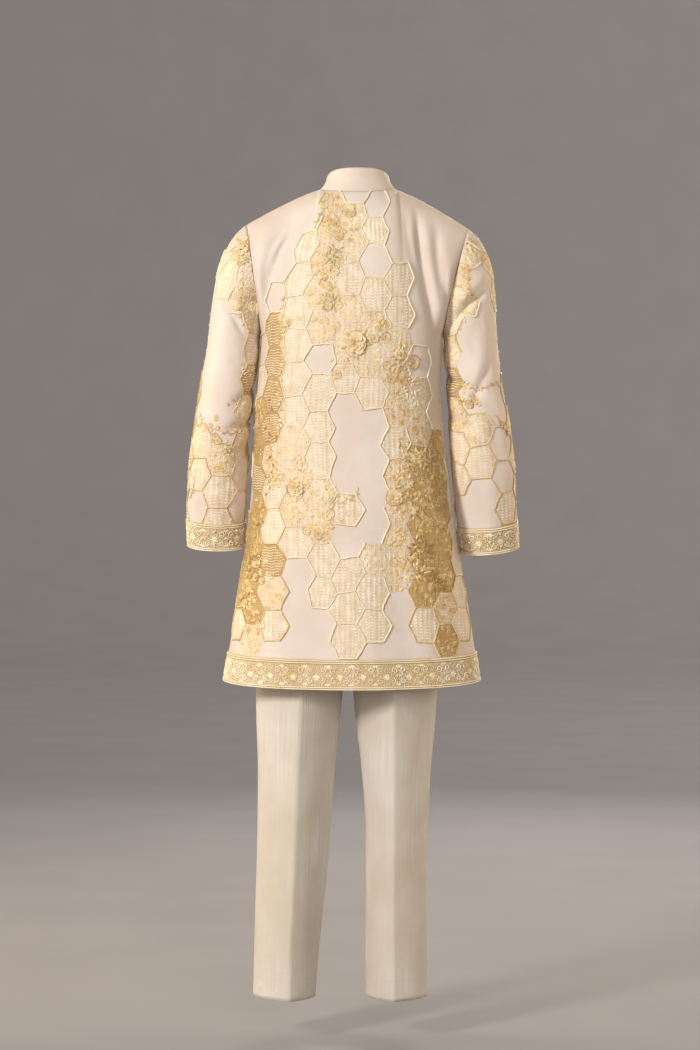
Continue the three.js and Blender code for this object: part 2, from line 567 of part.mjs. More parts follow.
// The t of a height on the centre front, by halving the range.
function frontLevel(h) {
  let [low, high] = [0, 2];
  const HALVINGS = 30;
  for (let k = 0; k < HALVINGS; k++) {
    const middle = (low + high) / 2;
    if (frontPoint(0, middle).z < h) low = middle;
    else high = middle;
  }
  return low;
}
// A domed button, turned about its own axis.
const dome = new THREE.LatheGeometry(
  [
    new THREE.Vector2(0, 0),
    new THREE.Vector2(BUTTON.radius, 0),
    new THREE.Vector2(BUTTON.radius, BUTTON.height * 0.45),
    new THREE.Vector2(BUTTON.radius * 0.7, BUTTON.height * 0.9),
    new THREE.Vector2(0, BUTTON.height),
  ],
  12,
);
for (let k = 0; k < BUTTON.count; k++) {
  const level = frontLevel(NECK_FRONT.h - BUTTON.first - k * BUTTON.pitch);
  const middle = frontPoint(0, level);
  const up = frontPoint(0, level + 0.01).sub(middle).normalize();
  const out = vec(0, -1, 0).addScaledVector(up, up.y).normalize();
  const button = sew(`kurta_button_${k + 1}`, dome.clone(), pearl);
  button.quaternion.setFromUnitVectors(vec(0, 1, 0), out);
  button.position.copy(middle).addScaledVector(out, SEAM_GAP + BAND_CLOTH + BUTTON_GAP);
}

// ---------------------------------------------------------------- the sleeves

const SLEEVE_COLUMNS = 20;
const CAP_ROWS = 7;
const ARM_ROWS = 13;
for (const hand of ['left', 'right']) {
  const rows = hand === 'left' ? SLEEVE_LEFT : SLEEVE_RIGHT;
  const cuffTop = 2 - CUFF_BAND / (rows[0].h - rows[rows.length - 1].h);
  const cuffRows = spaced(cuffTop, 2, 1);
  const cloth = {
    point: (turn, t) => sleevePoint(hand, turn, t),
    us: around(SLEEVE_COLUMNS),
    closed: true,
    facing: hand === 'left' ? -1 : 1,
  };
  const vs = [...spaced(0, 1, CAP_ROWS), ...spaced(1, cuffTop, ARM_ROWS).slice(1), 2];
  sew(`kurta_sleeve_${hand}`, wall({ ...cloth, vs }), silk);
  sew(`kurta_cuff_band_${hand}`, wall({ ...cloth, vs: cuffRows, thick: BAND_CLOTH, lift: SEAM_GAP }), gold);
}

// ---------------------------------------------------------------- the trousers

const LEG_COLUMNS = [0, 0.1, 0.22, 0.36, 0.5, 0.64, 0.78, 0.9, 1];
const LEG_ROWS = 14;
const RISE_HEIGHTS = [834, 860, 890, 930, 990];
const WAIST_COLUMNS = 32;
const legRows = [...spaced(TROUSER_HEM_HEIGHT, CROTCH_HEIGHT, LEG_ROWS), ...RISE_HEIGHTS, WAIST_HEIGHT];
for (const leg of ['left', 'right'])
  for (const face of ['back', 'front']) {
    const point = (s, h) => trouserPoint(leg, face, s, h);
    const facing = (leg === 'left') === (face === 'back') ? 1 : -1;
    sew(`trouser_${leg}_${face}`, wall({ point, us: LEG_COLUMNS, vs: legRows, facing }), cotton);
  }
const waistCloth = {
  point: waistPoint,
  us: around(WAIST_COLUMNS),
  vs: [WAIST_HEIGHT + SEAM_GAP, WAIST_HEIGHT + WAISTBAND],
  closed: true,
  thick: WAIST_CLOTH,
};
sew('trouser_waistband', wall(waistCloth), cotton);

export default garment;
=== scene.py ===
"""A south asian kurta with raised honeycomb embroidery over straight creased trousers, worn, with no wearer inside.

The forms are worked out in millimetres, with heights (h) measured from the ground that the wearer stands on, and
become metres below the neck when a mesh is made. The front faces -Y and the wearer's left hand is at +X.
"""

import math

import bpy
import numpy as np
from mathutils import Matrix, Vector


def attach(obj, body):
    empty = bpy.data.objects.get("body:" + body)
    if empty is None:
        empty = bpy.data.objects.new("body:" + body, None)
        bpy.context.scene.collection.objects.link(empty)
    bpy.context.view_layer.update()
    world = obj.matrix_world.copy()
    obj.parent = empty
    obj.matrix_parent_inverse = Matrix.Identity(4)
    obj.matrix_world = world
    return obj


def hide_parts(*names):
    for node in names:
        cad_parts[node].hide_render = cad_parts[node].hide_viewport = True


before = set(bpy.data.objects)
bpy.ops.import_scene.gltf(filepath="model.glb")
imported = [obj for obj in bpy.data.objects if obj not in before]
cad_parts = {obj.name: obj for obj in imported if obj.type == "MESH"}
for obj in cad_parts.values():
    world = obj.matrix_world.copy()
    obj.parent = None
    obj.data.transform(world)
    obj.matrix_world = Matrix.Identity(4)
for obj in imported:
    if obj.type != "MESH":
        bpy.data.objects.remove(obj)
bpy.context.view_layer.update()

# ---------------------------------------------------------------- driving sizes, in millimetres

CLOTH = 1.6  # thickness of a garment wall
COLLAR_CLOTH = 2.0
BAND_CLOTH = 1.0
WAIST_CLOTH = 2.4
SEAM_GAP = 0.3  # between two pieces that are sewn together, and under what lies on a panel
BAND_LIFT = SEAM_GAP + BAND_CLOTH

NECK_HEIGHT = 1595.0  # the neck ends of the shoulder seams, where the origin is
NECK_HALF = 71.5
NECK_SHARE = 0.35  # the share of a panel's half width that ends at the neckline
NECK = {"back": (70.0, 1584.0), "front": (-70.0, 1516.0)}
SHOULDER_TIP = {"left": (209.0, 1530.0), "right": (-207.0, 1522.0)}
COLLAR = {"back": 1630.0, "side": 1613.0, "front": 1553.0}  # the heights of the collar's upper edge
COLLAR_LEAN = {"back": 13.0, "side": 11.0, "front": 5.0}
COLLAR_FORWARD = 20.0
COLLAR_GAP = 0.51

CHEST_HEIGHT = 1318.0  # the level of the armpits
HEM_HEIGHT = 672.0  # the kurta's hem at its side corners
HEM_DIP = 12.0
SLIT_TOP = 906.0  # the side seams are open below this
SLIT_SPREAD = 20.0
HEM_BAND = 55.0
CUFF_BAND = 51.0

NECK_SLIT_SHARE = 0.0025
PLACKET_SHARE = 0.045
PLACKET_FOOT = 1190.0
BUTTON_COUNT = 5

TROUSER_HEM = 77.0
WAIST_HEIGHT = 1052.0
WAISTBAND = 40.0
CENTRE_SEAM_X = 20.0

CELL = {"wide": 63.0, "high": 61.0, "flat": 33.0}  # a honeycomb cell, with a flat top
CELL_PITCH = (CELL["wide"] + CELL["flat"]) / 2
COLUMN_PITCH = 9.6  # between the columns of running stitches in a cell
STITCH_PITCH = 5.5
SIDE = {"back": 1, "front": -1}
HAND = {"left": 1.0, "right": -1.0}


def table(text):
    """A table's columns by name, as arrays, from rows of numbers under a row of names."""
    names, *rows = (line.split() for line in text.strip().splitlines())
    return dict(zip(names, np.array(rows, float).T))


def folds(text):
    return table("start start_h end end_h bow wide depth" + text)
# The kurta's body, level by level: its sides, back and front, and the y of the side seam.
BODY = table("""
    h left right back front seam square
    645 256 -232 152 -150 4 2.15
    720 244 -221 149 -147 4 2.15
    800 231 -209 145 -143 4 2.2
    877 219 -196 141 -139 4 2.25
    953 208 -183 135 -136 4 2.3
    1029 201 -174 126 -133 3 2.35
    1105 197 -165 119 -131 2 2.4
    1181 193 -158 120 -131 1 2.45
    1257 186 -157 127 -133 0 2.5
    1318 182 -159 131 -131 0 2.5
""")
# The sleeves, ring by ring down the arm.
SLEEVE = {
    "left": table("""
        h x y wide deep
        1288 237 2 48.5 64
        1219 247 6 51 63
        1143 256.5 9 52.5 60
        1067 263.5 5 55.5 56
        991 267.5 -5 55 51
        923 269.5 -19 51 46
    """),
    "right": table("""
        h x y wide deep
        1288 -213.5 2 51 64
        1219 -219.5 6 52.5 63
        1143 -228.5 9 57.5 60
        1067 -236 5 58.5 57
        991 -241.5 -6 57 52
        917 -248.5 -22 54.5 48
    """),
}
# The trouser legs: depth and side seam, then the x of each one's side seam, pressed crease and inner edge.
LEGS = table("""
    h back front seam press left_outer left_crease left_inner right_outer right_crease right_inner
    77 80 -66 7 0.5 198 127 80 -130 -67 -14
    155 80 -70 5 0.5 196 126 74 -130 -67 -13
    269 82 -75 3 0.5 193 121 62 -130 -67 -14
    383 85 -82 2 0.5 190 116 52 -132 -67 -14
    497 93 -91 2 0.52 189 112 44 -137 -67 -7
    611 103 -101 3 0.56 192 107 32 -147 -67 6
    725 112 -110 3 0.65 193 104 24 -153 -65 15
    816 116 -114 4 0.75 190 102 20 -152 -62 20
    915 114 -114 4 0.85 183 98 20 -146 -58 20
    1000 105 -109 3 0.9 173 94 20 -136 -54 20
    1052 99 -105 2 0.9 168 91 20 -131 -51 20
""")
# The crotch seam, from the inseam round the seat.
RISE = table("""
    h back front seat
    77 0 0 0
    816 0 0 0
    846 0.7 0.64 0.55
    892 0.95 0.93 0.9
    942 1 1 1
    1052 1 1 1
""")

# Folds: soft troughs (depth below 0) and ridges (above 0) along a line, with "bow" bending it at its middle.
# On the kurta's panels the line runs across (x) and up (h). The first rows are the main folds, then come creases.
FOLDS = {
    "back": folds("""
        118 1500 168 1372 17 9 -8.5
        104 1470 146 1350 12 13 4.5
        -108 1540 -140 1330 6 8 -9
        -128 1530 -152 1360 6 8 6
        -146 1510 -162 1380 3 6 -7
        -139 1310 -146 1080 -5 14 -4
        152 1200 172 950 4 22 -4
        66 920 96 640 -6 36 -5
        -60 960 -108 640 8 34 -6
        148 1500 176 1400 9 5 -4.5
        134 1512 160 1420 8 5 2.2
        92 1520 128 1420 10 6 -2.4
        -88 1535 -112 1420 5 5 -2.8
        -100 1538 -124 1400 6 5 2.4
        -160 1460 -166 1380 0 4 -3.0
        -152 1470 -160 1360 0 4 2.0
        -20 1146 -96 1128 6 5 -1.1
        -8 1124 -78 1108 5 4 -0.9
        92 1096 150 1118 -4 6 -1.0
        70 1062 128 1080 -3 5 -0.8
        -110 1072 -146 1094 3 6 -1.0
        22 830 34 670 5 16 -1.6
        -16 800 -28 668 -4 14 1.4
        150 900 190 680 5 14 -1.8
        -140 880 -176 690 -4 13 -1.8
    """),
    "front": folds("""
        124 1505 158 1330 12 12 -5
        -114 1510 -146 1325 -10 12 -6
        -134 1500 -156 1370 -5 9 4
        112 1250 152 960 8 24 4
        -98 1220 -128 940 -8 26 4
        84 960 112 640 6 36 -5
        -52 920 -80 640 -6 36 -6
        146 1480 168 1390 8 6 -2.0
        -150 1470 -163 1400 -4 5 -1.8
        30 1150 96 1130 5 5 -1.1
        -28 1128 -90 1112 -5 5 -1.0
        60 1088 120 1100 4 6 -0.9
        -70 1060 -126 1078 3 5 -0.9
        10 820 4 668 4 16 1.5
        -26 840 -34 668 -5 15 -1.5
        146 880 186 680 6 14 -1.8
        -132 900 -170 684 -5 13 -1.8
    """),
}
# On a sleeve the line runs round the arm, in degrees from the outside over the back, and up (h).
SLEEVE_FOLDS = {
    "left": folds("""
        70 1384 140 1366 0 9 -7.5
        48 1402 118 1318 0 9 -7.5
        200 1230 110 1188 0 11 -6
        190 1160 105 1140 0 10 -7
        195 1125 120 1080 0 15 -4.5
        250 1180 320 1140 0 16 -4.5
        40 1100 70 960 0 18 -3.4
        22 1452 70 1424 4 7 -2.6
        98 1350 130 1332 2 6 -2.9
        92 1268 128 1250 0 8 -2.2
        148 1106 86 1090 0 6 -2.3
        120 1044 60 1026 3 8 -1.9
        100 1004 128 948 0 10 -2.0
    """),
    "right": folds("""
        48 1430 132 1364 0 11 5.6
        52 1404 136 1342 0 9 -8.5
        60 1330 84 1230 0 15 4.5
        190 1250 80 1208 0 10 -7
        60 1258 100 1188 0 10 -6.6
        185 1175 100 1140 0 15 -4.5
        250 1190 320 1150 0 16 -4.5
        95 1080 110 940 0 18 -3.4
        96 1404 132 1384 3 6 -2.9
        120 1318 92 1282 0 7 2.9
        144 1196 92 1172 0 6 -2.6
        70 1150 46 1060 3 9 -2.3
        132 1122 78 1102 0 7 -2.3
        126 1010 96 952 0 10 -1.7
    """),
}
# On a leg the line runs across by the share of the way from the side seam to the inner edge, and up (h).
LEG_REACH = 200.0
LEG_FOLDS = folds("""
    0.1 570 0.38 460 0 18 -3
    0.95 520 0.66 400 0 18 -4
    0.9 340 0.7 250 0 16 -2.5
    0.2 640 0.16 100 2 10 -1.6
    0.78 640 0.82 100 -2 10 -1.6
    0.34 560 0.3 160 2 8 -0.8
    0.66 520 0.7 140 -2 8 -0.8
    0.12 500 0.4 424 3 7 -1.2
    0.9 446 0.62 352 -3 8 -1.4
    0.14 300 0.34 214 2 8 -1.0
    0.86 226 0.7 150 0 7 -0.9
""")

# ---------------------------------------------------------------- small maths


def mix(a, b, share):
    return a + (b - a) * share


def ease(low, high, value):
    u = np.clip((value - low) / (high - low), 0, 1)
    return u * u * (3 - 2 * u)


def vec(x, y, z):
    return np.stack(np.broadcast_arrays(x, y, z), -1).astype(float)


def unit(v):
    return v / np.maximum(np.linalg.norm(v, axis=-1, keepdims=True), 1e-9)


def hermite(x, y, tangent, at):
    """A curve through (x, y) with the given tangents there."""
    i = np.clip(np.searchsorted(x, at, side="right") - 1, 0, len(x) - 2)
    step = x[i + 1] - x[i]
    u = (at - x[i]) / step
    curve = y[i] * (1 + 2 * u) * (1 - u) ** 2 + y[i + 1] * u * u * (3 - 2 * u)
    return curve + step * (tangent[i] * u * (1 - u) ** 2 - tangent[i + 1] * u * u * (1 - u))


def along(rows, column, h):
    """A smooth curve through one column of a table, which never swings past its rows."""
    order = np.argsort(rows["h"])
    x, y = rows["h"][order], rows[column][order]
    slope = np.diff(y) / np.diff(x)
    before, after = slope[:-1], slope[1:]
    turning = before * after <= 0
    inner = np.where(turning, 0, 2 * before * after / np.where(turning, 1, before + after))
    return hermite(x, y, np.concatenate([slope[:1], inner, slope[-1:]]), np.clip(h, x[0], x[-1]))


def bridge(start, leave, end, arrive, u):
    """A curve from one point to another that leaves and arrives in the given directions."""
    reach = np.linalg.norm(end - start, axis=-1, keepdims=True)
    u = np.asarray(u, float)[..., None]
    return (
        start * (1 + 2 * u) * (1 - u) ** 2
        + leave * reach * u * (1 - u) ** 2
        + end * u * u * (3 - 2 * u)
        - arrive * reach * u * u * (1 - u)
    )


def fold_depth(folds, across, up, scale=1.0):
    """How far the folds push the cloth in or out. "scale" turns a fold's own measure across into millimetres."""
    depth = np.zeros(np.broadcast(across, up).shape)
    for start, start_h, end, end_h, bow, wide, deep in zip(*folds.values()):
        dx, dh = (end - start) * scale, end_h - start_h
        length = np.hypot(dx, dh)
        px, ph = across - start * scale, up - start_h
        share = (px * dx + ph * dh) / length**2
        away = (ph * dx - px * dh) / length - bow * 4 * share * (1 - share)
        ends = ease(-0.2, 0.2, share) * ease(1.2, 0.75, share)
        depth = depth + deep * ends * np.exp(-((away / wide) ** 2))
    return depth


def ripple(across, up, size, seed, waves=6):
    """Soft uneven waves between -1 and 1, from sine waves at odd angles."""
    draw = np.random.default_rng(seed)
    total = 0
    for _ in range(waves):
        angle, phase, stretch = draw.uniform(0, math.pi), draw.uniform(0, 2 * math.pi), draw.uniform(0.7, 1.6)
        reach = 2 * math.pi / (size * stretch)
        total = total + np.sin((across * math.cos(angle) + up * math.sin(angle)) * reach + phase)
    return total / waves


# ---------------------------------------------------------------- the forms


def body_section(face, s, h):
    """The kurta's body at a level. s runs from -1 at the right side seam over the centre to 1 at the left one."""
    left, right = along(BODY, "left", h), along(BODY, "right", h)
    spread = SLIT_SPREAD * np.clip((SLIT_TOP - h) / (SLIT_TOP - HEM_HEIGHT), 0, 1)
    side = SIDE[face]
    seam = along(BODY, "seam", h) + side * (SEAM_GAP + spread) / 2
    power = 2 / along(BODY, "square", h)
    turn = s * math.pi / 2
    across = np.sign(s) * np.abs(np.sin(turn)) ** power
    out = np.abs(np.cos(turn)) ** power
    return vec((left + right) / 2 + (left - right) / 2 * across, mix(seam, along(BODY, face, h), out), h)


def top_line(face, s):
    """The neckline and the shoulder seams, from the right shoulder tip (-1) over the neck to the left one (1)."""
    side = SIDE[face]
    neck_y, neck_h = NECK[face]
    share = np.abs(s)
    u = np.clip((share - NECK_SHARE) / (1 - NECK_SHARE), 0, 1)
    tip_x, tip_h = (np.where(s > 0, *pair) for pair in zip(SHOULDER_TIP["left"], SHOULDER_TIP["right"]))
    seam_y = side * SEAM_GAP / 2
    shoulder = vec(mix(np.sign(s) * NECK_HALF, tip_x, u), seam_y, mix(NECK_HEIGHT, tip_h, u**1.2))
    turn = np.clip(share / NECK_SHARE, 0, 1) * math.pi / 2
    out = np.maximum(np.cos(turn), 0)
    neck_x = np.sign(s) * NECK_HALF * np.sin(turn)
    neckline = vec(neck_x, mix(seam_y, neck_y, out), mix(NECK_HEIGHT, neck_h, out**1.4))
    return np.where((share >= NECK_SHARE)[..., None], shoulder, neckline)


def kurta_base(face, s, t):
    """A point of the kurta's back or front. t runs from 0 at the hem over 1 at the armpits to 2 at the top line."""
    s, t = np.broadcast_arrays(np.asarray(s, float), np.asarray(t, float))
    hem = HEM_HEIGHT - HEM_DIP * np.cos(s * math.pi / 2)
    lower = body_section(face, s, mix(hem, CHEST_HEIGHT, np.clip(t, 0, 1)))
    side = SIDE[face]
    outer = ease(0.55, 1, np.abs(s))
    middle = 1 - ease(0, NECK_SHARE, np.abs(s))
    leave = vec(np.sign(s) * 0.06 * outer, side * 1.5 * outer, mix(1, 0.75, outer))
    # Over the shoulder the cloth arrives level, and at the neckline it still rises.
    arrive = vec(0, -side * mix(1, 0.5, middle), 0.9 * middle)
    chest = body_section(face, s, np.full_like(s, CHEST_HEIGHT))
    upper = bridge(chest, leave, top_line(face, s), arrive, np.clip(t - 1, 0, 1))
    return np.where((t <= 1)[..., None], lower, upper)


PUCKER = 0.35  # how far the stitching draws the cloth in and out


def kurta_point(face, s, t):
    base = kurta_base(face, s, t)
    calm = ease(1, 0.88, np.abs(s)) * ease(2, 1.9, t)
    x, h = base[..., 0], base[..., 2]
    pucker = PUCKER * ripple(x, h, 46, 11) + PUCKER / 2 * ripple(x, h, 17, 12)
    base[..., 1] += SIDE[face] * calm * (fold_depth(FOLDS[face], x, h) + pucker)
    return base


def armhole(hand, turn):
    """The armhole's edge: 0 at the shoulder tip, 1 at the armpit, and on over the front to 2."""
    s = HAND[hand]
    back, front = kurta_base("back", s, 2 - turn), kurta_base("front", s, turn)
    edge = np.where((turn <= 1)[..., None], back, front)
    meet = ease(0.06, 0, np.abs(turn - 1)) + ease(0.06, 0, np.minimum(turn, 2 - turn))
    edge[..., 1] *= 1 - 0.9 * np.clip(meet, 0, 1)
    edge[..., 0] += s * SEAM_GAP * 1.6
    return edge


def sleeve_ring(hand, turn, h):
    """A ring of the sleeve at a level, square to the arm."""
    rows = SLEEVE[hand]
    s = HAND[hand]
    level = np.maximum(h, rows["h"].min() + 4)
    above, below = level + 4, level - 4
    drift_x, drift_y = (along(rows, key, below) - along(rows, key, above) for key in "xy")
    axis = unit(vec(drift_x, drift_y, below - above))
    outward = unit(vec(s, 0, 0) - axis * (s * axis[..., :1]))
    backward = unit(vec(0, 1, 0) - axis * axis[..., 1:2])
    angle = turn * math.pi
    centre = vec(along(rows, "x", h), along(rows, "y", h), h)
    wide, deep = along(rows, "wide", h) * np.cos(angle), along(rows, "deep", h) * np.sin(angle)
    return centre + outward * wide[..., None] + backward * deep[..., None]


def sleeve_point(hand, turn, t):
    """A point of a sleeve. turn is 0 at the outside, 0.5 at the back, 1 under the arm and 1.5 at the front.
    t runs from 0 at the armhole over 1 at the first whole ring to 2 at the cuff."""
    turn, t = np.broadcast_arrays(np.asarray(turn, float) % 2, np.asarray(t, float))
    rows = SLEEVE[hand]
    first, last = rows["h"].max(), rows["h"].min()
    s = HAND[hand]
    ring = sleeve_ring(hand, turn, mix(first, last, np.clip(t - 1, 0, 1)))
    top = (1 + np.cos(turn * math.pi)) / 2
    leave = vec(s * mix(0.55, 0.76, top), np.sin(turn * math.pi) * 0.35, mix(-0.8, -0.5, top))
    first_ring = sleeve_ring(hand, turn, np.full_like(t, first))
    cap = bridge(armhole(hand, turn), leave, first_ring, vec(s * 0.12, 0, -1), np.clip(t, 0, 1))
    base = np.where((t >= 1)[..., None], ring, cap)
    level = np.minimum(base[..., 2], first)
    reach = along(rows, "deep", level)
    calm = ease(0, 0.35, t) * ease(2, 1.85, t)
    round_arm = turn * math.pi * reach
    pucker = PUCKER * ripple(round_arm, base[..., 2], 40, 21) * ease(0, 0.1, turn) * ease(2, 1.9, turn)
    depth = calm * (fold_depth(SLEEVE_FOLDS[hand], round_arm, base[..., 2], reach * math.pi / 180) + pucker)
    out = base - vec(along(rows, "x", level), along(rows, "y", level), base[..., 2])
    out[..., 2] = 0
    return base + unit(out) * depth[..., None]


def trouser_base(leg, face, s, h):
    """A trouser panel. s runs from 0 at the side seam over 0.5 at the crease to 1 at the inner edge."""
    s, h = np.broadcast_arrays(np.asarray(s, float), np.asarray(h, float))
    side = SIDE[face]
    seam = along(LEGS, "seam", h) + side * SEAM_GAP / 2
    crest, press, seat = along(LEGS, face, h), along(LEGS, "press", h), along(RISE, "seat", h)
    outer_x, crease_x, inner_x = (along(LEGS, f"{leg}_{part}", h) for part in ("outer", "crease", "inner"))
    inner_x = inner_x + HAND[leg] * SEAM_GAP * 0.7
    inner_y = mix(seam, crest, along(RISE, face, h))

    def bend(a, b, c, u):
        return a * (1 - u) ** 2 + 2 * b * u * (1 - u) + c * u * u

    u = np.clip(s * 2, 0, 1)
    outside = vec(bend(outer_x, outer_x, crease_x, u), bend(seam, mix(seam, crest, press), crest, u), h)
    u = np.clip(s * 2 - 1, 0, 1)
    mid_x = mix(inner_x, mix(crease_x, inner_x, 0.5), seat)
    mid_y = mix(mix(inner_y, crest, press), inner_y, seat)
    inside = vec(bend(crease_x, mid_x, inner_x, u), bend(crest, mid_y, inner_y, u), h)
    return np.where((s <= 0.5)[..., None], outside, inside)


def trouser_point(leg, face, s, h):
    base = trouser_base(leg, face, s, h)
    calm = ease(0, 0.12, s) * ease(1, 0.88, s) * ease(0, 0.06, np.abs(s - 0.5))
    depth = fold_depth(LEG_FOLDS, s * LEG_REACH, h, LEG_REACH) + 0.5 * ripple(s * LEG_REACH, h, 90, 31)
    base[..., 1] += SIDE[face] * calm * depth
    return base


def waist_point(turn, h):
    """The waistband's line: turn is 0 at the left side seam, 0.5 at the back, 1 at the right, 1.5 at the front."""
    turn, h = np.broadcast_arrays(np.asarray(turn, float) % 2, np.asarray(h, float))
    half_turn = np.where(turn <= 1, turn, 2 - turn)
    base = np.zeros(turn.shape + (3,))
    for face, here in (("back", turn <= 1), ("front", turn > 1)):
        halves = ("left", half_turn * 2, half_turn <= 0.5), ("right", 2 - half_turn * 2, half_turn > 0.5)
        for leg, share, there in halves:
            line = trouser_base(leg, face, np.clip(share, 0, 1), WAIST_HEIGHT)
            base = np.where((here & there)[..., None], line, base)
    at_side = np.minimum(half_turn, 1 - half_turn) < 1e-6
    base[..., 1] = np.where(at_side, along(LEGS, "seam", WAIST_HEIGHT), base[..., 1])
    base[..., 0] = np.where(np.abs(half_turn - 0.5) < 1e-6, CENTRE_SEAM_X, base[..., 0])
    base[..., 2] = h
    return base


def collar_point(turn, rise):
    """The stand collar, from its left front end round the nape to the right one, on the panels' neckline."""
    turn, rise = np.broadcast_arrays(np.asarray(turn, float), np.asarray(rise, float))
    behind = (turn > 0) & (turn < 1)
    s = np.where(behind, 1 - 2 * turn, np.where(turn <= 0, 1 + 2 * turn, 2 * turn - 3)) * NECK_SHARE
    part = np.cos(s / NECK_SHARE * math.pi / 2)
    back = np.where(behind, part, -part)
    edge = COLLAR["side"] + back * (COLLAR["back"] - COLLAR["front"]) / 2
    sag = COLLAR["side"] - (COLLAR["back"] + COLLAR["front"]) / 2
    lean = mix(COLLAR_LEAN["side"], np.where(behind, COLLAR_LEAN["back"], COLLAR_LEAN["front"]), part)
    place = np.where(behind[..., None], top_line("back", s), top_line("front", s))
    inward = -place.copy()
    inward[..., 2] = 0
    place = place + unit(inward) * (lean * np.sin(rise * math.pi / 2))[..., None]
    place[..., 1] -= COLLAR_FORWARD * (1 - part * part) * rise
    place[..., 2] = mix(place[..., 2] + COLLAR_GAP, edge - sag * back * back, rise)
    return place


def read(table, row, column):
    """A table's value between its rows and columns."""
    row = np.clip(row, 0, table.shape[0] - 1.001)
    column = np.clip(column, 0, table.shape[1] - 1.001)
    j, k = row.astype(int), column.astype(int)
    w, x = row - j, column - k
    return mix(mix(table[j, k], table[j, k + 1], x), mix(table[j + 1, k], table[j + 1, k + 1], x), w)


class Cloth:
    """A cloth form that two shares describe, a across and b up, and that can be laid flat: u is the length across
    from its middle line and v the length up from its lower edge, in millimetres."""

    ROWS, COLUMNS, FLAT = 321, 241, 481

    def __init__(self, point, across, up, middle, facing, closed=False, level=False):
        self.point, self.across, self.up, self.facing, self.closed = point, across, up, facing, closed
        self.a, self.b = np.linspace(*across, self.COLUMNS), np.linspace(*up, self.ROWS)
        grid = point(self.a[None, :], self.b[:, None])
        self.centre = int(np.argmin(np.abs(self.a - middle)))
        over, upward = np.diff(grid, axis=1), np.diff(grid, axis=0)
        self.u = np.pad(np.cumsum(np.linalg.norm(over, axis=2), axis=1), ((0, 0), (1, 0)))
        self.u -= self.u[:, self.centre : self.centre + 1]
        self.v = np.pad(np.cumsum(np.linalg.norm(upward, axis=2), axis=0), ((1, 0), (0, 0)))
        if level:
            self.v += grid[0, :, 2] - grid[0, self.centre, 2]
        self.flat_u = np.linspace(self.u.min(), self.u.max(), self.FLAT)
        self.flat_v = np.linspace(self.v.min(), self.v.max(), self.FLAT)
        self.column_at = np.array([np.interp(self.flat_u, row, np.arange(self.COLUMNS)) for row in self.u])
        self.row_at = np.array([np.interp(self.flat_v, column, np.arange(self.ROWS)) for column in self.v.T]).T
        self.patches = np.linalg.norm(np.cross(over[:-1], upward[:, :-1]), axis=2)

    def shares(self, u, v):
        """The two shares of a flat place, found by turns along its column and its row."""
        column_of = (u - self.flat_u[0]) / (self.flat_u[1] - self.flat_u[0])
        row_of = (v - self.flat_v[0]) / (self.flat_v[1] - self.flat_v[0])
        column = np.full(np.shape(u), float(self.centre))
        for _ in range(7):
            row = read(self.row_at, row_of, column)
            column = read(self.column_at, row, column_of)
        return np.interp(column, np.arange(self.COLUMNS), self.a), np.interp(row, np.arange(self.ROWS), self.b)

    def flat(self, a, b):
        """The flat place of two shares."""
        column = (a - self.across[0]) / (self.across[1] - self.across[0]) * (self.COLUMNS - 1)
        row = (b - self.up[0]) / (self.up[1] - self.up[0]) * (self.ROWS - 1)
        return read(self.u, row, column), read(self.v, row, column)

    def sides(self, v):
        """How far the cloth reaches to each side at a flat height."""
        return np.interp(v, self.v[:, 0], self.u[:, 0]), np.interp(v, self.v[:, -1], self.u[:, -1])

    def ends(self, u):
        """How low and how high the cloth reaches at a flat place across."""
        return np.interp(u, self.u[0], self.v[0]), np.interp(u, self.u[-1], self.v[-1])

    def holds(self, u, v, margin):
        """True for flat places on the cloth that are at least so far from its edges."""
        found_u, found_v = self.flat(*self.shares(u, v))
        low, high = self.sides(v)
        foot, top = self.ends(u)
        inside = self.closed | ((u > low + margin) & (u < high - margin))
        return inside & (v > foot + margin) & (v < top - margin) & (np.hypot(found_u - u, found_v - v) < 1.5)

    def cut(self, a_span=None, b_span=None):
        """The flat width, length and area of a part of the cloth, in metres."""
        a_low, a_high = sorted(a_span or self.across)
        b_low, b_high = sorted(b_span or self.up)
        columns = (self.a >= a_low - 1e-9) & (self.a <= a_high + 1e-9)
        rows = (self.b >= b_low - 1e-9) & (self.b <= b_high + 1e-9)
        u, v = self.u[rows][:, columns], self.v[rows][:, columns]
        area = self.patches[rows[:-1] & rows[1:]][:, columns[:-1] & columns[1:]].sum() / 1e6
        return np.ptp(u, axis=1).max() / 1000, np.ptp(v, axis=0).max() / 1000, area

    def slopes(self, a, b):
        """Outward, across and up directions at two shares."""
        step_a = (self.across[1] - self.across[0]) / 2000
        step_b = (self.up[1] - self.up[0]) / 2000
        a0, a1 = a - step_a, a + step_a
        if not self.closed:
            a0, a1 = np.clip(a0, *self.across), np.clip(a1, *self.across)
        low, high = sorted(self.up)
        over = self.point(a1, b) - self.point(a0, b)
        upward = self.point(a, np.clip(b + step_b, low, high)) - self.point(a, np.clip(b - step_b, low, high))
        return unit(np.cross(over, upward)) * self.facing, unit(over), unit(upward)

    def lay(self, u, v, lift=0.0):
        """Where flat places lie on the worn cloth, and the outward, across and up directions there."""
        u, v = np.broadcast_arrays(np.asarray(u, float), np.asarray(v, float))
        a, b = self.shares(u, v)
        outward, over, upward = self.slopes(a, b)
        return self.point(a, b) + outward * np.asarray(lift, float)[..., None], outward, over, upward

    def even(self, count, at=0.5):
        """Shares across that are evenly spaced at one level."""
        lengths = self.u[int(at * (self.ROWS - 1))]
        return np.interp(np.linspace(lengths[0], lengths[-1], count + 1), lengths, self.a)

    def levels(self, count):
        """Shares up that are evenly spaced on the middle line."""
        lengths = self.v[:, self.centre]
        return np.interp(np.linspace(lengths[0], lengths[-1], count + 1), lengths, self.b)
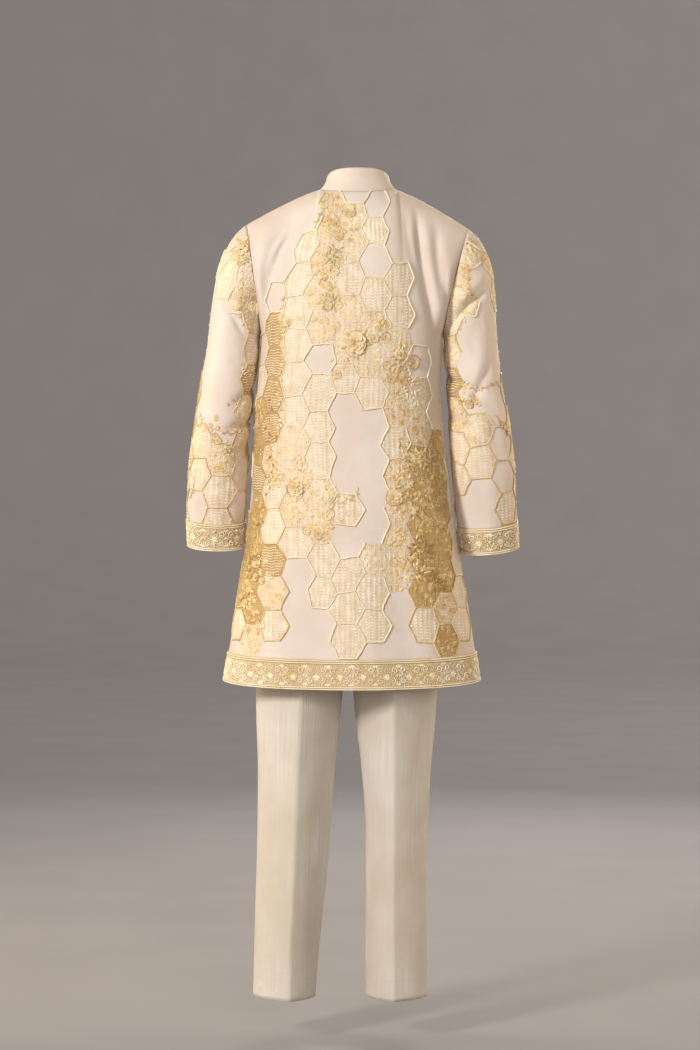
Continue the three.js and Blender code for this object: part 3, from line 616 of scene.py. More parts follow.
def panel(face):
    return Cloth(lambda s, t: kurta_point(face, s, t), (-1, 1), (0, 2), 0, -SIDE[face], level=True)


def sleeve(hand):
    return Cloth(lambda a, t: sleeve_point(hand, a, t), (-0.5, 1.5), (2, 0), 0.5, HAND[hand], closed=True)


def leg_panel(leg, face):
    facing = HAND[leg] * SIDE[face]
    return Cloth(lambda s, h: trouser_point(leg, face, s, h), (0, 1), (TROUSER_HEM, WAIST_HEIGHT), 0.5, facing)


# ---------------------------------------------------------------- meshes


def to_metres(points):
    """Ground heights in millimetres become metres below the neck."""
    placed = np.array(points, float).reshape(-1, 3)
    placed[:, 2] -= NECK_HEIGHT
    return placed / 1000


def linked(name, data):
    made = bpy.data.objects.new(name, data)
    bpy.context.scene.collection.objects.link(made)
    return made


def make_object(name, points, faces=(), edges=(), material=None, in_metres=False):
    mesh = bpy.data.meshes.new(name)
    mesh.from_pydata(points if in_metres else to_metres(points), list(edges), list(faces))
    mesh.polygons.foreach_set("use_smooth", [True] * len(mesh.polygons))
    if material:
        mesh.materials.append(material)
    return linked(name, mesh)


def set_uv(thing, corners):
    """Gives each face corner its flat place, in metres."""
    layer = thing.data.uv_layers.new(name="flat")
    layer.data.foreach_set("uv", np.asarray(corners, np.float32).ravel() / 1000)


def set_points(thing, **vectors):
    for name, value in vectors.items():
        slot = thing.data.attributes.new(name, "FLOAT_VECTOR", "POINT")
        slot.data.foreach_set("vector", value.astype(np.float32).ravel())


def sew_cloth(name, cloth, a_list, b_list, material, thick=CLOTH, lift=0.0, gap=None):
    """A cloth shell over a grid of shares, whose outer face follows the form. gap is true for cells cut out."""
    a_list, b_list = np.asarray(a_list, float), np.asarray(b_list, float)
    used = a_list[:-1] if cloth.closed else a_list
    a, b = np.meshgrid(used, b_list)
    points = cloth.point(a, b)
    if lift:
        points = points + cloth.slopes(a, b)[0] * lift
    wide = len(used)
    u, v = cloth.flat(*np.meshgrid(a_list, b_list))
    faces, corners = [], []
    for j in range(len(b_list) - 1):
        for i in range(len(a_list) - 1):
            if gap is not None and gap((a_list[i] + a_list[i + 1]) / 2, (b_list[j] + b_list[j + 1]) / 2):
                continue
            ring = [(i, j), (i + 1, j), (i + 1, j + 1), (i, j + 1)]
            if cloth.facing < 0:
                ring.reverse()
            faces.append([y * wide + x % wide for x, y in ring])
            corners += [(u[y, x], v[y, x]) for x, y in ring]
    made = make_object(name, points, faces, material=material)
    set_uv(made, corners)
    shell = made.modifiers.new("thickness", "SOLIDIFY")
    shell.thickness, shell.offset = thick / 1000, -1
    return made


def baked(source, name):
    """The plain mesh that a piece's modifiers make, in a new object. The source is deleted."""
    graph = bpy.context.evaluated_depsgraph_get()
    mesh = bpy.data.meshes.new_from_object(source.evaluated_get(graph))
    bpy.data.objects.remove(source)
    mesh.name = name
    return linked(name, mesh)


# ---------------------------------------------------------------- node trees for what repeats


class Nodes:
    """Adds nodes to a tree. links gives an input a socket to join, or a value of its own."""

    def __init__(self, tree):
        self.tree = tree

    def add(self, kind, links=None, **settings):
        made = self.tree.nodes.new(kind)
        for key, value in settings.items():
            setattr(made, key, value)
        for key, value in (links or {}).items():
            if isinstance(value, bpy.types.NodeSocket):
                self.tree.links.new(value, made.inputs[key])
            else:
                made.inputs[key].default_value = value
        return made

    def math(self, operation, first, second=0.0, third=0.0):
        return self.add("ShaderNodeMath", {0: first, 1: second, 2: third}, operation=operation).outputs[0]


def new_tree(name, kind, inputs, outputs):
    tree = bpy.data.node_groups.new(name, kind)
    for way, sockets in (("INPUT", inputs), ("OUTPUT", outputs)):
        for key, socket in sockets.items():
            tree.interface.new_socket(key, in_out=way, socket_type="NodeSocket" + socket)
    return tree


class Layer(Nodes):
    """A geometry node tree with named inputs, which a modifier sets by their identifiers."""

    def __init__(self, name, **inputs):
        shape = {"Geometry": "Geometry"}
        super().__init__(new_tree(name, "GeometryNodeTree", {**shape, **inputs}, shape))
        self.given = self.add("NodeGroupInput").outputs

    def named(self, name):
        links = {"Name": name}
        return self.add("GeometryNodeInputNamedAttribute", links, data_type="FLOAT_VECTOR").outputs["Attribute"]

    def store(self, geometry, name, value, domain):
        links = {"Geometry": geometry, "Name": name, "Value": value}
        return self.add("GeometryNodeStoreNamedAttribute", links, data_type="FLOAT", domain=domain).outputs[0]

    def end(self, geometry):
        real = self.add("GeometryNodeRealizeInstances", {"Geometry": geometry})
        finish = self.add("GeometryNodeSetMaterial", {"Geometry": real.outputs[0], "Material": self.given["Finish"]})
        self.add("NodeGroupOutput", {"Geometry": finish.outputs[0]})

    def run(self, source, name, **values):
        modifier = source.modifiers.new("nodes", "NODES")
        modifier.node_group = self.tree
        for item in self.tree.interface.items_tree:
            if item.in_out == "INPUT" and item.name in values:
                modifier[item.identifier] = values[item.name]
        return baked(source, name)


def motif_layer():
    """Lays a motif on every point, with its Z outwards and its X along the point's own direction."""
    tree = Layer("laid motifs", Motif="Object", Finish="Material", Uneven="Float", Seed="Int")
    axes = {"Primary Axis": tree.named("outward"), "Secondary Axis": tree.named("towards")}
    turn = tree.add("FunctionNodeAxesToRotation", axes, primary_axis="Z", secondary_axis="X")
    motif = tree.add("GeometryNodeObjectInfo", {"Object": tree.given["Motif"]})
    chance = tree.add("FunctionNodeRandomValue", {"Seed": tree.given["Seed"]}, data_type="FLOAT").outputs[1]
    shrink = tree.math("SUBTRACT", 1.0, tree.math("MULTIPLY", chance, tree.given["Uneven"]))
    size = tree.add("ShaderNodeVectorMath", {0: tree.named("size"), "Scale": shrink}, operation="SCALE")
    links = {
        "Points": tree.given["Geometry"],
        "Instance": motif.outputs["Geometry"],
        "Rotation": turn.outputs[0],
        "Scale": size.outputs[0],
    }
    laid = tree.add("GeometryNodeInstanceOnPoints", links)
    tree.end(tree.store(laid.outputs[0], "tone", chance, "INSTANCE"))
    return tree


def cord_layer():
    """Lays a round cord along every edge, and keeps the length along it and the turn round it."""
    tree = Layer("cords", Radius="Float", Sides="Int", Finish="Material")
    line = tree.add("GeometryNodeMeshToCurve", {"Mesh": tree.given["Geometry"]})
    share = tree.add("GeometryNodeSplineParameter").outputs
    circle = {"Radius": tree.given["Radius"], "Resolution": tree.given["Sides"]}
    ring = tree.add("GeometryNodeCurvePrimitiveCircle", circle)
    curve = tree.store(line.outputs[0], "run", share["Length"], "POINT")
    profile = tree.store(ring.outputs[0], "round", share["Factor"], "POINT")
    tube = tree.add("GeometryNodeCurveToMesh", {"Curve": curve, "Profile Curve": profile, "Fill Caps": True})
    tree.end(tree.add("GeometryNodeSetShadeSmooth", {"Geometry": tube.outputs[0]}).outputs[0])
    return tree


MOTIFS, CORDS = motif_layer(), cord_layer()
UNEVEN = 0.15  # how much smaller than drawn a motif may come out


def laid_motifs(name, motif, places, outward, towards, size, material, seed):
    """Copies of a motif on worn places, with three sizes for each."""
    source = make_object(name + "_points", places)
    set_points(source, outward=outward, towards=towards, size=size)
    return MOTIFS.run(source, name, Motif=motif, Finish=material, Uneven=UNEVEN, Seed=seed)


def laid_cords(name, lines, radius, material, sides):
    """Round cords along lists of worn places. Lines that share an end place are joined there."""
    places, edges, known = [], [], {}
    for line in lines:
        before = None
        for k, place in enumerate(line):
            key = tuple(np.round(place, 2)) if k in (0, len(line) - 1) else None
            index = known.get(key) if key else None
            if index is None:
                index = len(places)
                places.append(place)
                if key:
                    known[key] = index
            if before is not None and before != index:
                edges.append((before, index))
            before = index
    source = make_object(name + "_lines", np.array(places), edges=edges)
    return CORDS.run(source, name, Radius=radius / 1000, Sides=sides, Finish=material)


# ---------------------------------------------------------------- motifs, flat on XY with Z out


def motif(name, points, faces):
    """A motif's own mesh, given in millimetres. It isn't shown itself."""
    made = make_object("motif_" + name, np.array(points, float) / 1000, faces, in_metres=True)
    bpy.context.scene.collection.objects.unlink(made)
    return made


def stitch_motif(name, half_long, half_wide, high):
    """A low stitch: a rounded loaf that is highest along its middle."""
    turns = [2 * math.pi * k / 4 for k in range(4)]
    points = [(half_long * math.cos(turn), half_wide * math.sin(turn), 0) for turn in turns]
    points += [(-half_long * 0.5, 0, high), (half_long * 0.5, 0, high)]
    return motif(name, points, [(0, 1, 5), (1, 2, 4), (2, 3, 4), (3, 0, 5), (1, 4, 5), (3, 5, 4)])


def leaf_motif(name, long, wide, high, steps=5):
    """A pointed leaf with a raised vein, from the origin along X."""
    points = [(0, 0, 0.1)]
    for k in range(1, steps):
        share = k / steps
        half = wide / 2 * math.sin(math.pi * share**0.8)
        vein = high * math.sin(math.pi * share) + 0.2
        points += [(long * share, -half, 0.1), (long * share, 0, vein), (long * share, half, 0.1)]
    points.append((long, 0, 0.1))
    tip = len(points) - 1
    faces = [(0, 1, 2), (0, 2, 3)]
    for a in range(1, 3 * steps - 5, 3):
        faces += [(a, a + 3, a + 4, a + 1), (a + 1, a + 4, a + 5, a + 2)]
    faces += [(tip - 3, tip, tip - 2), (tip - 2, tip, tip - 1)]
    return motif(name, points, faces)


def petal_motif(name, long, wide, cup, steps=3):
    """A round petal that stands up from its foot at the origin and curls back at its rim."""
    points, faces = [], []
    for j in range(steps + 1):
        share = j / steps
        half = wide / 2 * math.sin(math.pi * (0.12 + 0.62 * share))
        for i in range(steps + 1):
            side = 2 * i / steps - 1
            lift = cup * (math.sin(math.pi * 0.62 * share) + 0.35 * side * side * share)
            points.append((long * share * (1 - 0.1 * side * side), half * side, 0.15 + lift))
            if i < steps and j < steps:
                a = j * (steps + 1) + i
                faces.append((a, a + steps + 1, a + steps + 2, a + 1))
    return motif(name, points, faces)


def dome_motif(name, radius, high, sides=8, rings=2):
    """A low round dome, for a bead, a pearl or a mirror's rim."""
    points, faces = [], []
    for j in range(rings):
        turn = math.pi / 2 * j / rings
        reach = radius * math.cos(turn)
        for k in range(sides):
            angle = 2 * math.pi * k / sides
            points.append((reach * math.cos(angle), reach * math.sin(angle), high * math.sin(turn)))
            a, b = j * sides + k, j * sides + (k + 1) % sides
            faces.append((a, b, b + sides, a + sides) if j < rings - 1 else (a, b, rings * sides))
    return motif(name, [*points, (0, 0, high)], faces)


# ---------------------------------------------------------------- finishes


def srgb(code):
    """A colour given as six hexadecimal digits, as linear light."""
    parts = [int(code[k : k + 2], 16) / 255 for k in (0, 2, 4)]
    return tuple(c / 12.92 if c < 0.04045 else ((c + 0.055) / 1.055) ** 2.4 for c in parts) + (1.0,)


class Shader(Nodes):
    """Adds the nodes of a material or of a group that several materials use."""

    def blend(self, share, first, second):
        return self.add("ShaderNodeMix", {0: share, 6: first, 7: second}, data_type="RGBA").outputs[2]

    def noise(self, where, scale, detail=2.0, roughness=0.5):
        links = {"Vector": where, "Scale": scale, "Detail": detail, "Roughness": roughness}
        return self.add("ShaderNodeTexNoise", links).outputs["Fac"]

    def remap(self, value, low, high, to_low=0.0, to_high=1.0):
        return self.add("ShaderNodeMapRange", {0: value, 1: low, 2: high, 3: to_low, 4: to_high}).outputs[0]

    def split(self, vector):
        return self.add("ShaderNodeSeparateXYZ", {0: vector}).outputs

    def stretch(self, vector, by):
        return self.add("ShaderNodeVectorMath", {0: vector, 1: by}, operation="MULTIPLY").outputs[0]

    def kept(self, name):
        return self.add("ShaderNodeAttribute", attribute_name=name).outputs["Fac"]

    def group(self, tree, **links):
        return self.add("ShaderNodeGroup", links, node_tree=tree).outputs


class Finish(Shader):
    """A material with its own shader. plain sets the shader's own sockets, with _ for a space in their names."""

    def __init__(self, name, roughness, metallic=0.0, **plain):
        self.material = bpy.data.materials.new(name)
        self.material.use_nodes = True
        super().__init__(self.material.node_tree)
        self.tree.nodes.clear()
        sockets = {key.replace("_", " "): value for key, value in plain.items()}
        self.surface = self.add("ShaderNodeBsdfPrincipled", {"Roughness": roughness, "Metallic": metallic, **sockets})
        self.add("ShaderNodeOutputMaterial", {"Surface": self.surface.outputs[0]})

    def where(self):
        return self.add("ShaderNodeTexCoord").outputs["Object"]

    def flat(self):
        return self.add("ShaderNodeUVMap", uv_map="flat").outputs[0]

    def drift(self, tone, other, size, speckle):
        links = {"Where": self.where(), "Tone": srgb(tone), "Other": srgb(other), "Size": size, "Speckle": speckle}
        return self.group(DRIFT, **links)

    def give(self, socket, value):
        self.tree.links.new(value, self.surface.inputs[socket])

    def bump(self, height, distance):
        made = self.add("ShaderNodeBump", {"Height": height, "Distance": distance, "Strength": 1.0})
        self.give("Normal", made.outputs[0])


def shader_group(name, inputs, outputs):
    """A group's tree and its builder, its inputs, and a way to give its outputs."""
    tree = new_tree(name, "ShaderNodeTree", inputs, outputs)
    shader = Shader(tree)
    given = shader.add("NodeGroupInput").outputs
    result = shader.add("NodeGroupOutput")
    return tree, shader, given, lambda key, socket: tree.links.new(socket, result.inputs[key])


def weave_group():
    """Crossing threads. Flat is in metres and Pitch is the distance between threads, in metres."""
    inputs = {"Flat": "Vector", "Pitch": "Float", "Slub": "Float"}
    tree, shader, given, put = shader_group("weave", inputs, {"Height": "Float", "Shade": "Float"})
    x, y, _ = shader.split(given["Flat"])
    turns = shader.math("DIVIDE", 2 * math.pi, given["Pitch"])
    wander = shader.noise(given["Flat"], 260.0)
    across, upward = (shader.math("SINE", shader.math("MULTIPLY_ADD", way, turns, wander)) for way in (x, y))
    slub = shader.noise(shader.stretch(given["Flat"], (30.0, 1400.0, 1.0)), 1.0, 3.0)
    put("Height", shader.math("MULTIPLY_ADD", slub, given["Slub"], shader.math("MULTIPLY", across, upward)))
    put("Shade", slub)
    return tree


def wrap_group():
    """Thread wound round a cord in slanting turns, from the length along it and the turn round it."""
    inputs = {"Run": "Float", "Round": "Float", "Pitch": "Float"}
    tree, shader, given, put = shader_group("wound thread", inputs, {"Height": "Float"})
    turns = shader.math("DIVIDE", given["Run"], given["Pitch"])
    angle = shader.math("MULTIPLY", shader.math("ADD", turns, given["Round"]), 2 * math.pi)
    put("Height", shader.math("ABSOLUTE", shader.math("SINE", angle)))
    return tree


def drift_group():
    """Uneven colour: one tone drifts into another over a few centimetres, with finer speckle."""
    inputs = {"Where": "Vector", "Tone": "Color", "Other": "Color", "Size": "Float", "Speckle": "Float"}
    tree, shader, given, put = shader_group("tone drift", inputs, {"Color": "Color", "Mask": "Float"})
    broad = shader.noise(given["Where"], shader.math("DIVIDE", 1.0, given["Size"]), 3.0)
    fine = shader.math("SUBTRACT", shader.noise(given["Where"], 700.0), 0.5)
    share = shader.math("ADD", shader.remap(broad, 0.36, 0.66), shader.math("MULTIPLY", fine, given["Speckle"]))
    put("Color", shader.blend(share, given["Tone"], given["Other"]))
    put("Mask", share)
    return tree


WEAVE, WRAP, DRIFT = weave_group(), wrap_group(), drift_group()
GOLDEN_SHEEN = srgb("F3D9A6")


def woven_finish(name, tone, other, pitch, roughness, height=0.00012, drift=0.09):
    """Woven cloth whose threads follow the flat places."""
    made = Finish(name, roughness, Sheen_Weight=0.25, Sheen_Roughness=0.45, Sheen_Tint=GOLDEN_SHEEN)
    weave = made.group(WEAVE, Flat=made.flat(), Pitch=pitch, Slub=0.6)
    threads = made.remap(weave["Shade"], 0.3, 0.7, 0.0, 0.28)
    made.give("Base Color", made.blend(threads, made.drift(tone, other, drift, 0.5)["Color"], srgb(other)))
    made.give("Roughness", made.remap(weave["Shade"], 0.2, 0.8, roughness - 0.06, roughness + 0.06))
    made.bump(weave["Height"], height)
    return made.material


def crinkle_finish(name, tone, other):
    """Trouser cloth with fine uneven upright stripes."""
    made = Finish(name, 0.72, Sheen_Weight=0.2, Sheen_Roughness=0.5)
    flat = made.flat()
    stripe = made.noise(made.stretch(flat, (420.0, 5.0, 1.0)), 1.0, 3.0, 0.7)
    weave = made.group(WEAVE, Flat=flat, Pitch=0.0009, Slub=0.5)
    shade = made.remap(stripe, 0.4, 0.6, 0.0, 0.6)
    made.give("Base Color", made.blend(shade, made.drift(tone, other, 0.12, 0.4)["Color"], srgb(other)))
    height = made.math("MULTIPLY_ADD", stripe, 2.2, made.math("MULTIPLY", weave["Height"], 0.2))
    made.bump(height, 0.0011)
    return made.material


def stitched_finish(name, ground, thread, shadow):
    """Cloth under running stitches: pale thread ladders up the cell, with painted shade in the shadow colour in the
    dips between them.
    """
    made = Finish(name, 0.55, Sheen_Weight=0.2, Sheen_Tint=GOLDEN_SHEEN)
    flat = made.flat()
    x, y, _ = made.split(flat)
    ladder = made.math("COSINE", made.math("MULTIPLY", x, 2 * math.pi / (COLUMN_PITCH / 1000)))
    rung = made.math("COSINE", made.math("MULTIPLY", y, 2 * math.pi / (STITCH_PITCH / 2000)))
    fine, broad = made.noise(flat, 900.0, 3.0), made.noise(flat, 55.0)
    between = made.remap(ladder, -0.2, -1.0)
    dip = made.math("MULTIPLY", made.remap(rung, -0.2, 0.9), made.remap(fine, 0.35, 0.62))
    base = made.blend(made.remap(broad, 0.35, 0.65), srgb(ground), srgb(thread))
    # painted shade: the dips between the rungs, darkest between the columns, take the shadow colour
    dark = made.math("MULTIPLY", dip, made.remap(between, 0.0, 1.0, 0.35, 0.8))
    made.give("Base Color", made.blend(dark, base, srgb(shadow)))
    made.bump(made.math("SUBTRACT", made.math("MULTIPLY", ladder, 0.4), made.math("MULTIPLY", dip, 0.8)), 0.0005)
    return made.material


def thread_finish(name, tone, other, roughness, metallic=0.0, wound=True):
    """Embroidery thread. On cords it is wound in turns, and on motifs it is combed along them."""
    made = Finish(name, roughness, metallic, Sheen_Weight=0.15)
    share = made.math("MULTIPLY", made.kept("tone"), 0.45)
    made.give("Base Color", made.blend(share, made.drift(tone, other, 0.03, 0.8)["Color"], srgb(other)))
    strands = made.noise(made.where(), 1600.0)
    if wound:
        turns = made.group(WRAP, Run=made.kept("run"), Round=made.kept("round"), Pitch=0.0016)
        strands = made.math("ADD", strands, turns["Height"])
    made.bump(strands, 0.00018)
    return made.material


def gloss_finish(name, tone, other, roughness, metallic, coat=0.0):
    """Pearls, mirrors and buttons, with a slight cloudiness."""
    made = Finish(name, roughness, metallic, Coat_Weight=coat, Coat_Roughness=0.08)
    cloud = made.drift(tone, other, 0.004, 0.6)
    made.give("Base Color", cloud["Color"])
    made.give("Roughness", made.remap(cloud["Mask"], 0.0, 1.0, roughness, roughness + 0.12))
    return made.material
SILK = woven_finish("pinkish cream silk", "F1E2D5", "EAD6C4", 0.0008, 0.5)
BAND = woven_finish("gold band ground", "DFC597", "C9A773", 0.0012, 0.42, height=0.0002, drift=0.05)
COTTON = crinkle_finish("crinkled trouser cotton", "FBF3E7", "EADCC6")
# the last colour of each stitched ground is painted shade for the dips between the stitches
CELL_GROUND = stitched_finish("stitched cell ground", "E6D0B0", "F0E0C8", "B58C56")
GOLD_GROUND = stitched_finish("gold stitched ground", "BC9556", "CCAA72", "7C5728")
CREAM = thread_finish("cream thread", "FFF9EE", "F8EACF", 0.4)
PETAL = thread_finish("petal thread", "F5E2BC", "DDBB82", 0.42, wound=False)
LEAF = thread_finish("cream leaf thread", "F9EACA", "E8CD9A", 0.42)
CORD = thread_finish("cream cord", "FDF3DA", "F5E3BA", 0.36)
GOLD = thread_finish("gold thread", "F2DAA4", "D8B272", 0.34, 0.2)
DARK_GOLD = thread_finish("dark gold thread", "C9A162", "9E753C", 0.4, 0.2)
MOSS = thread_finish("green gold thread", "D6C690", "B2A066", 0.45, 0.1)
PEARL = gloss_finish("pearl", "F6EEDF", "E6D6BC", 0.18, 0.0, 0.6)
MIRROR = gloss_finish("small mirror", "F2F0EC", "D8D2C8", 0.08, 0.9)
BAND_THREAD = thread_finish("pale gold band thread", "FFF5DC", "F6E0B2", 0.38, 0.05)
SEWING = thread_finish("sewing thread", "E6D6BE", "D3BC96", 0.6, wound=False)

# ---------------------------------------------------------------- pieces and the body they ride on


def piece(made, slot, *nodes):
    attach(made, "root")
    if nodes:
        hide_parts(*nodes)
    return made


# ---------------------------------------------------------------- embroidery on a cloth

def rows_of_chart(chart, centre, top, across=1):
    """The flat places of a chart's cells. Every second column hangs half a cell lower."""
    middle = len(chart[0]) // 2
    for row, line in enumerate(chart):
        for column, kind in enumerate(line):
            if kind != ".":
                steps = middle - column
                hang = 0.5 if steps % 2 == 0 else 0.0
                yield kind, centre + across * steps * CELL_PITCH, top - (row + hang) * CELL["high"]


def hexagon(u, v, shrink=0.0):
    """A cell's six corners, from the top left one on."""
    wide, flat, high = CELL["wide"] / 2 - shrink, CELL["flat"] / 2 - shrink * 0.55, CELL["high"] / 2 - shrink
    upper = [(u - flat, v + high), (u + flat, v + high), (u + wide, v)]
    return upper + [(u + flat, v - high), (u - flat, v - high), (u - wide, v)]

def in_cell(du, dv, margin):
    """True for offsets from a cell's middle that lie inside it."""
    wide, flat, high = CELL["wide"] / 2 - margin, CELL["flat"] / 2, CELL["high"] / 2 - margin
    slant = (wide - np.abs(du)) * high - np.abs(dv) * (CELL["wide"] / 2 - flat)
    return (np.abs(dv) < high) & (slant > 0)
GOLDEN_TURN = 2.4  # nearly the golden angle, so that places in widening rings fill a round patch evenly
CELL_COLUMNS = 6  # of running stitches


def golden_turns(count, shift):
    """Turns, and shares of the way out, for places that fill a round patch."""
    order = np.arange(count)
    return order * GOLDEN_TURN, np.sqrt((order + shift) / count)


class Embroidery:
    """Gathers what is sewn on one cloth, and makes one piece of each kind at the end. gold_from says how far from
    the middle the cords turn gold, to each side, and under which height. shade says on which side of a cord its
    dark thread and painted shadow lie, and loose how far the hand work wanders."""

    PATCH_STEPS = 5

    def __init__(self, name, cloth, seed, base=0.0, band=0.0, rim=6.0, gold_from=None, shade=-1.0, loose=0.0):
        self.name, self.cloth, self.base, self.band, self.rim = name, cloth, base, band, rim
        self.gold_from, self.shade, self.loose = gold_from, shade, loose
        self.draw = np.random.default_rng(seed)
        self.patches = {"cell": [], "gold": []}
        self.rims, self.motifs, self.lines = {}, {}, {}
    def held_in(self, u, v):
        """The nearest flat places that stay off the cloth's edges and its band."""
        foot, top = self.cloth.ends(u)
        v = np.clip(v, foot + max(self.band, 1), top - 1)
        low, high = self.cloth.sides(v)
        rim = 0 if self.cloth.closed else self.rim
        return np.clip(u, low + rim, high - rim), v

    def sway(self, u, v):
        """Hand work wanders: flat places move a little, together with their neighbours."""
        if not self.loose:
            return u, v
        loose = self.loose * ease(self.band, self.band + 50, v - self.cloth.ends(u)[0])
        return u + loose * ripple(u, v, 120, 71), v + loose * ripple(u, v, 105, 72)

    def fits(self, u, v, margin=3.0):
        return self.cloth.holds(u, v, margin) & (v > self.cloth.ends(u)[0] + self.band + margin / 2)

    def put(self, kind, u, v, angle, size, lift=0.0):
        """Lays motifs of one kind at flat places. angle 0 points across, and size scales the motif."""
        u, v = np.atleast_1d(np.asarray(u, float)), np.atleast_1d(np.asarray(v, float))
        shape = (max(len(u), len(v)),)
        u, v = self.sway(np.broadcast_to(u, shape), np.broadcast_to(v, shape))
        rows = [u, v, np.broadcast_to(angle, shape), np.broadcast_to(lift, shape)]
        size = np.asarray(size, float)
        size = np.broadcast_to(size if size.ndim == 2 else size.reshape(-1, 1), (*shape, 3))
        self.motifs.setdefault(kind, []).append(np.column_stack([np.array(rows).T, size])[self.fits(u, v)])

    def line(self, kind, u, v, lift=1.0):
        """A cord along flat places."""
        u, v = self.held_in(*self.sway(np.asarray(u, float), np.asarray(v, float)))
        self.lines.setdefault(kind, []).append(self.cloth.lay(u, v, self.base + lift)[0])

    def cell(self, kind, u, v):
        if kind != "o":
            self.patches["gold" if kind in "gsW" else "cell"].append((u, v))
        corners = hexagon(u, v)
        for start, end in zip(corners, corners[1:] + corners[:1]):
            key = tuple(sorted((tuple(np.round(start, 1)), tuple(np.round(end, 1)))))
            self.rims.setdefault(key, [start, end, ""])[2] += kind
        if kind == "c":
            self.running_stitches(u, v)
        elif kind in "wW":
            self.wavy_stitches(u, v)
        elif kind == "d":
            self.tufts(u, v, "seed", "cream_leaf")
        elif kind in "Dg":
            self.tufts(u, v, "gold_seed", "gold_leaf")
        elif kind == "s":
            self.scattered(u, v, "sequin", 3.5)
            self.scattered(u, v, "pearl", 14.0, 6.0, 0.7)
    def running_stitches(self, u, v):
        """Upright columns of short cross stitches, like ladders, with a column or two of dark dots."""
        shift = self.draw.uniform(-1.5, 1.5)
        dotted = set(self.draw.choice(CELL_COLUMNS, 1 if self.draw.random() < 0.55 else 2, replace=False))
        for k in range(CELL_COLUMNS):
            du = (k - (CELL_COLUMNS - 1) / 2) * COLUMN_PITCH + shift
            dv = np.arange(-6, 7) * STITCH_PITCH + self.draw.uniform(-0.6, 0.6)
            du = du + self.draw.normal(0, 0.2, dv.shape)
            keep = in_cell(du, dv, 3.6 if k in dotted else 4.6) & (self.draw.random(dv.shape) > 0.03)
            du, dv = u + du[keep], v + dv[keep]
            if k in dotted:
                self.put("dot", du, dv, 0.3, 1.0, 0.5)
            else:
                self.put("stitch", du, dv, self.draw.normal(0, 0.07, len(du)), 1.0, 0.5)

    def wavy_stitches(self, u, v):
        """Scalloped rows of short stitches."""
        du, rows = (x.ravel() for x in np.meshgrid(np.arange(-29, 30, 3.4), np.arange(-28, 29, 5.0)))
        deep, wave = 1.9, 5.5
        dv = rows + deep * np.abs(np.sin(du / wave))
        angle = np.arctan2(deep * np.cos(du / wave) / wave * np.sign(np.sin(du / wave)), 1.0)
        keep = in_cell(du, dv, 4.0)
        self.put("stitch", u + du[keep], v + dv[keep], angle[keep], [(0.66, 0.62, 1.0)], 0.5)

    def scattered(self, u, v, kind, pitch, margin=2.0, size=1.0):
        """Scattered motifs that turn every way."""
        du, dv = (x.ravel() for x in np.meshgrid(np.arange(-30, 31, pitch), np.arange(-29, 30, pitch)))
        du = du + self.draw.uniform(-pitch / 3, pitch / 3, du.shape)
        dv = dv + self.draw.uniform(-pitch / 3, pitch / 3, dv.shape)
        keep = in_cell(du, dv, margin)
        self.put(kind, u + du[keep], v + dv[keep], self.draw.uniform(0, 2 * math.pi, keep.sum()), size, 0.4)

    def tufts(self, u, v, seed, leaf):
        """Small leaves in threes over seed stitches, with a few dark dots."""
        self.scattered(u, v, seed, 4.0)
        self.scattered(u, v, "dot", 7.0, 3.0)
        for _ in range(20):
            du, dv = self.draw.uniform(-24, 24), self.draw.uniform(-24, 24)
            if in_cell(np.array(du), np.array(dv), 6.0):
                self.tuft(u + du, v + dv, leaf, self.draw.uniform(0, 2 * math.pi), self.draw.uniform(0.55, 0.95))

    def tuft(self, u, v, leaf, angle, size, turns=(-0.7, 0.0, 0.7)):
        for turn in turns:
            self.put(leaf, u, v, angle + turn, size, 0.7)

    def rose(self, u, v, size, leaf="gold_leaf", leaves=3):
        """A rose of three rings of petals round a bud, ringed with dark gold dots as painted shade, with leaves under
        it.
        """
        start = self.draw.uniform(0, 2 * math.pi)
        for ring, (count, reach, high) in enumerate(((7, 1.0, 0.4), (6, 0.68, 1.3), (4, 0.4, 2.1))):
            angles = start + ring * 0.5 + np.arange(count) * 2 * math.pi / count + self.draw.normal(0, 0.08, count)
            foot = 2.2 * size * reach
            sizes = np.column_stack([np.full(count, size * reach)] * 2 + [np.full(count, size)])
            self.put("petal", u + foot * np.cos(angles), v + foot * np.sin(angles), angles, sizes, high * size)
        self.put("bead", u, v, 0, size * 0.9, 2.0 * size)
        # painted shade: a ring of dark gold dots round the rose stands for the shade round its raised petals
        ring, reach = np.arange(0, 2 * math.pi, 0.3 / size), 10.5 * size
        self.put("dot", u + reach * np.cos(ring), v + reach * np.sin(ring), ring + math.pi / 2, 1.2, 0.6)
        for k in range(leaves):
            angle, reach = start + k * 2 * math.pi / leaves + self.draw.normal(0, 0.25), 8.0 * size
            self.put(leaf, u + reach * math.cos(angle), v + reach * math.sin(angle), angle, 0.8 * size, 0.7)

    def heap(self, u, v, reach, leaf="gold_leaf", size=1.2):
        """Satin leaves heaped round a place, all pointing away from it."""
        count = int(reach * 1.2)
        turn, out = golden_turns(count, 0.3)
        turn, away = turn + self.draw.uniform(0, 6), reach * out
        sizes = size * self.draw.uniform(0.7, 1.15, count)
        angle = turn + self.draw.normal(0, 0.9, count)
        self.put(leaf, u + away * np.cos(turn), v + away * np.sin(turn), angle, sizes, 2.0 - away / reach)
        self.put("bead", u, v, 0, 1.3, 2.6)

    def star_flower(self, u, v, size, middle="pearl", petals=5):
        """A small flat flower round a pearl."""
        angles = self.draw.uniform(0, 2) + np.arange(petals) * 2 * math.pi / petals
        self.put("petal", u + 1.6 * size * np.cos(angles), v + 1.6 * size * np.sin(angles), angles, size * 0.55, 0.6)
        self.put(middle, u, v, 0, 0.8 * size, 0.9)

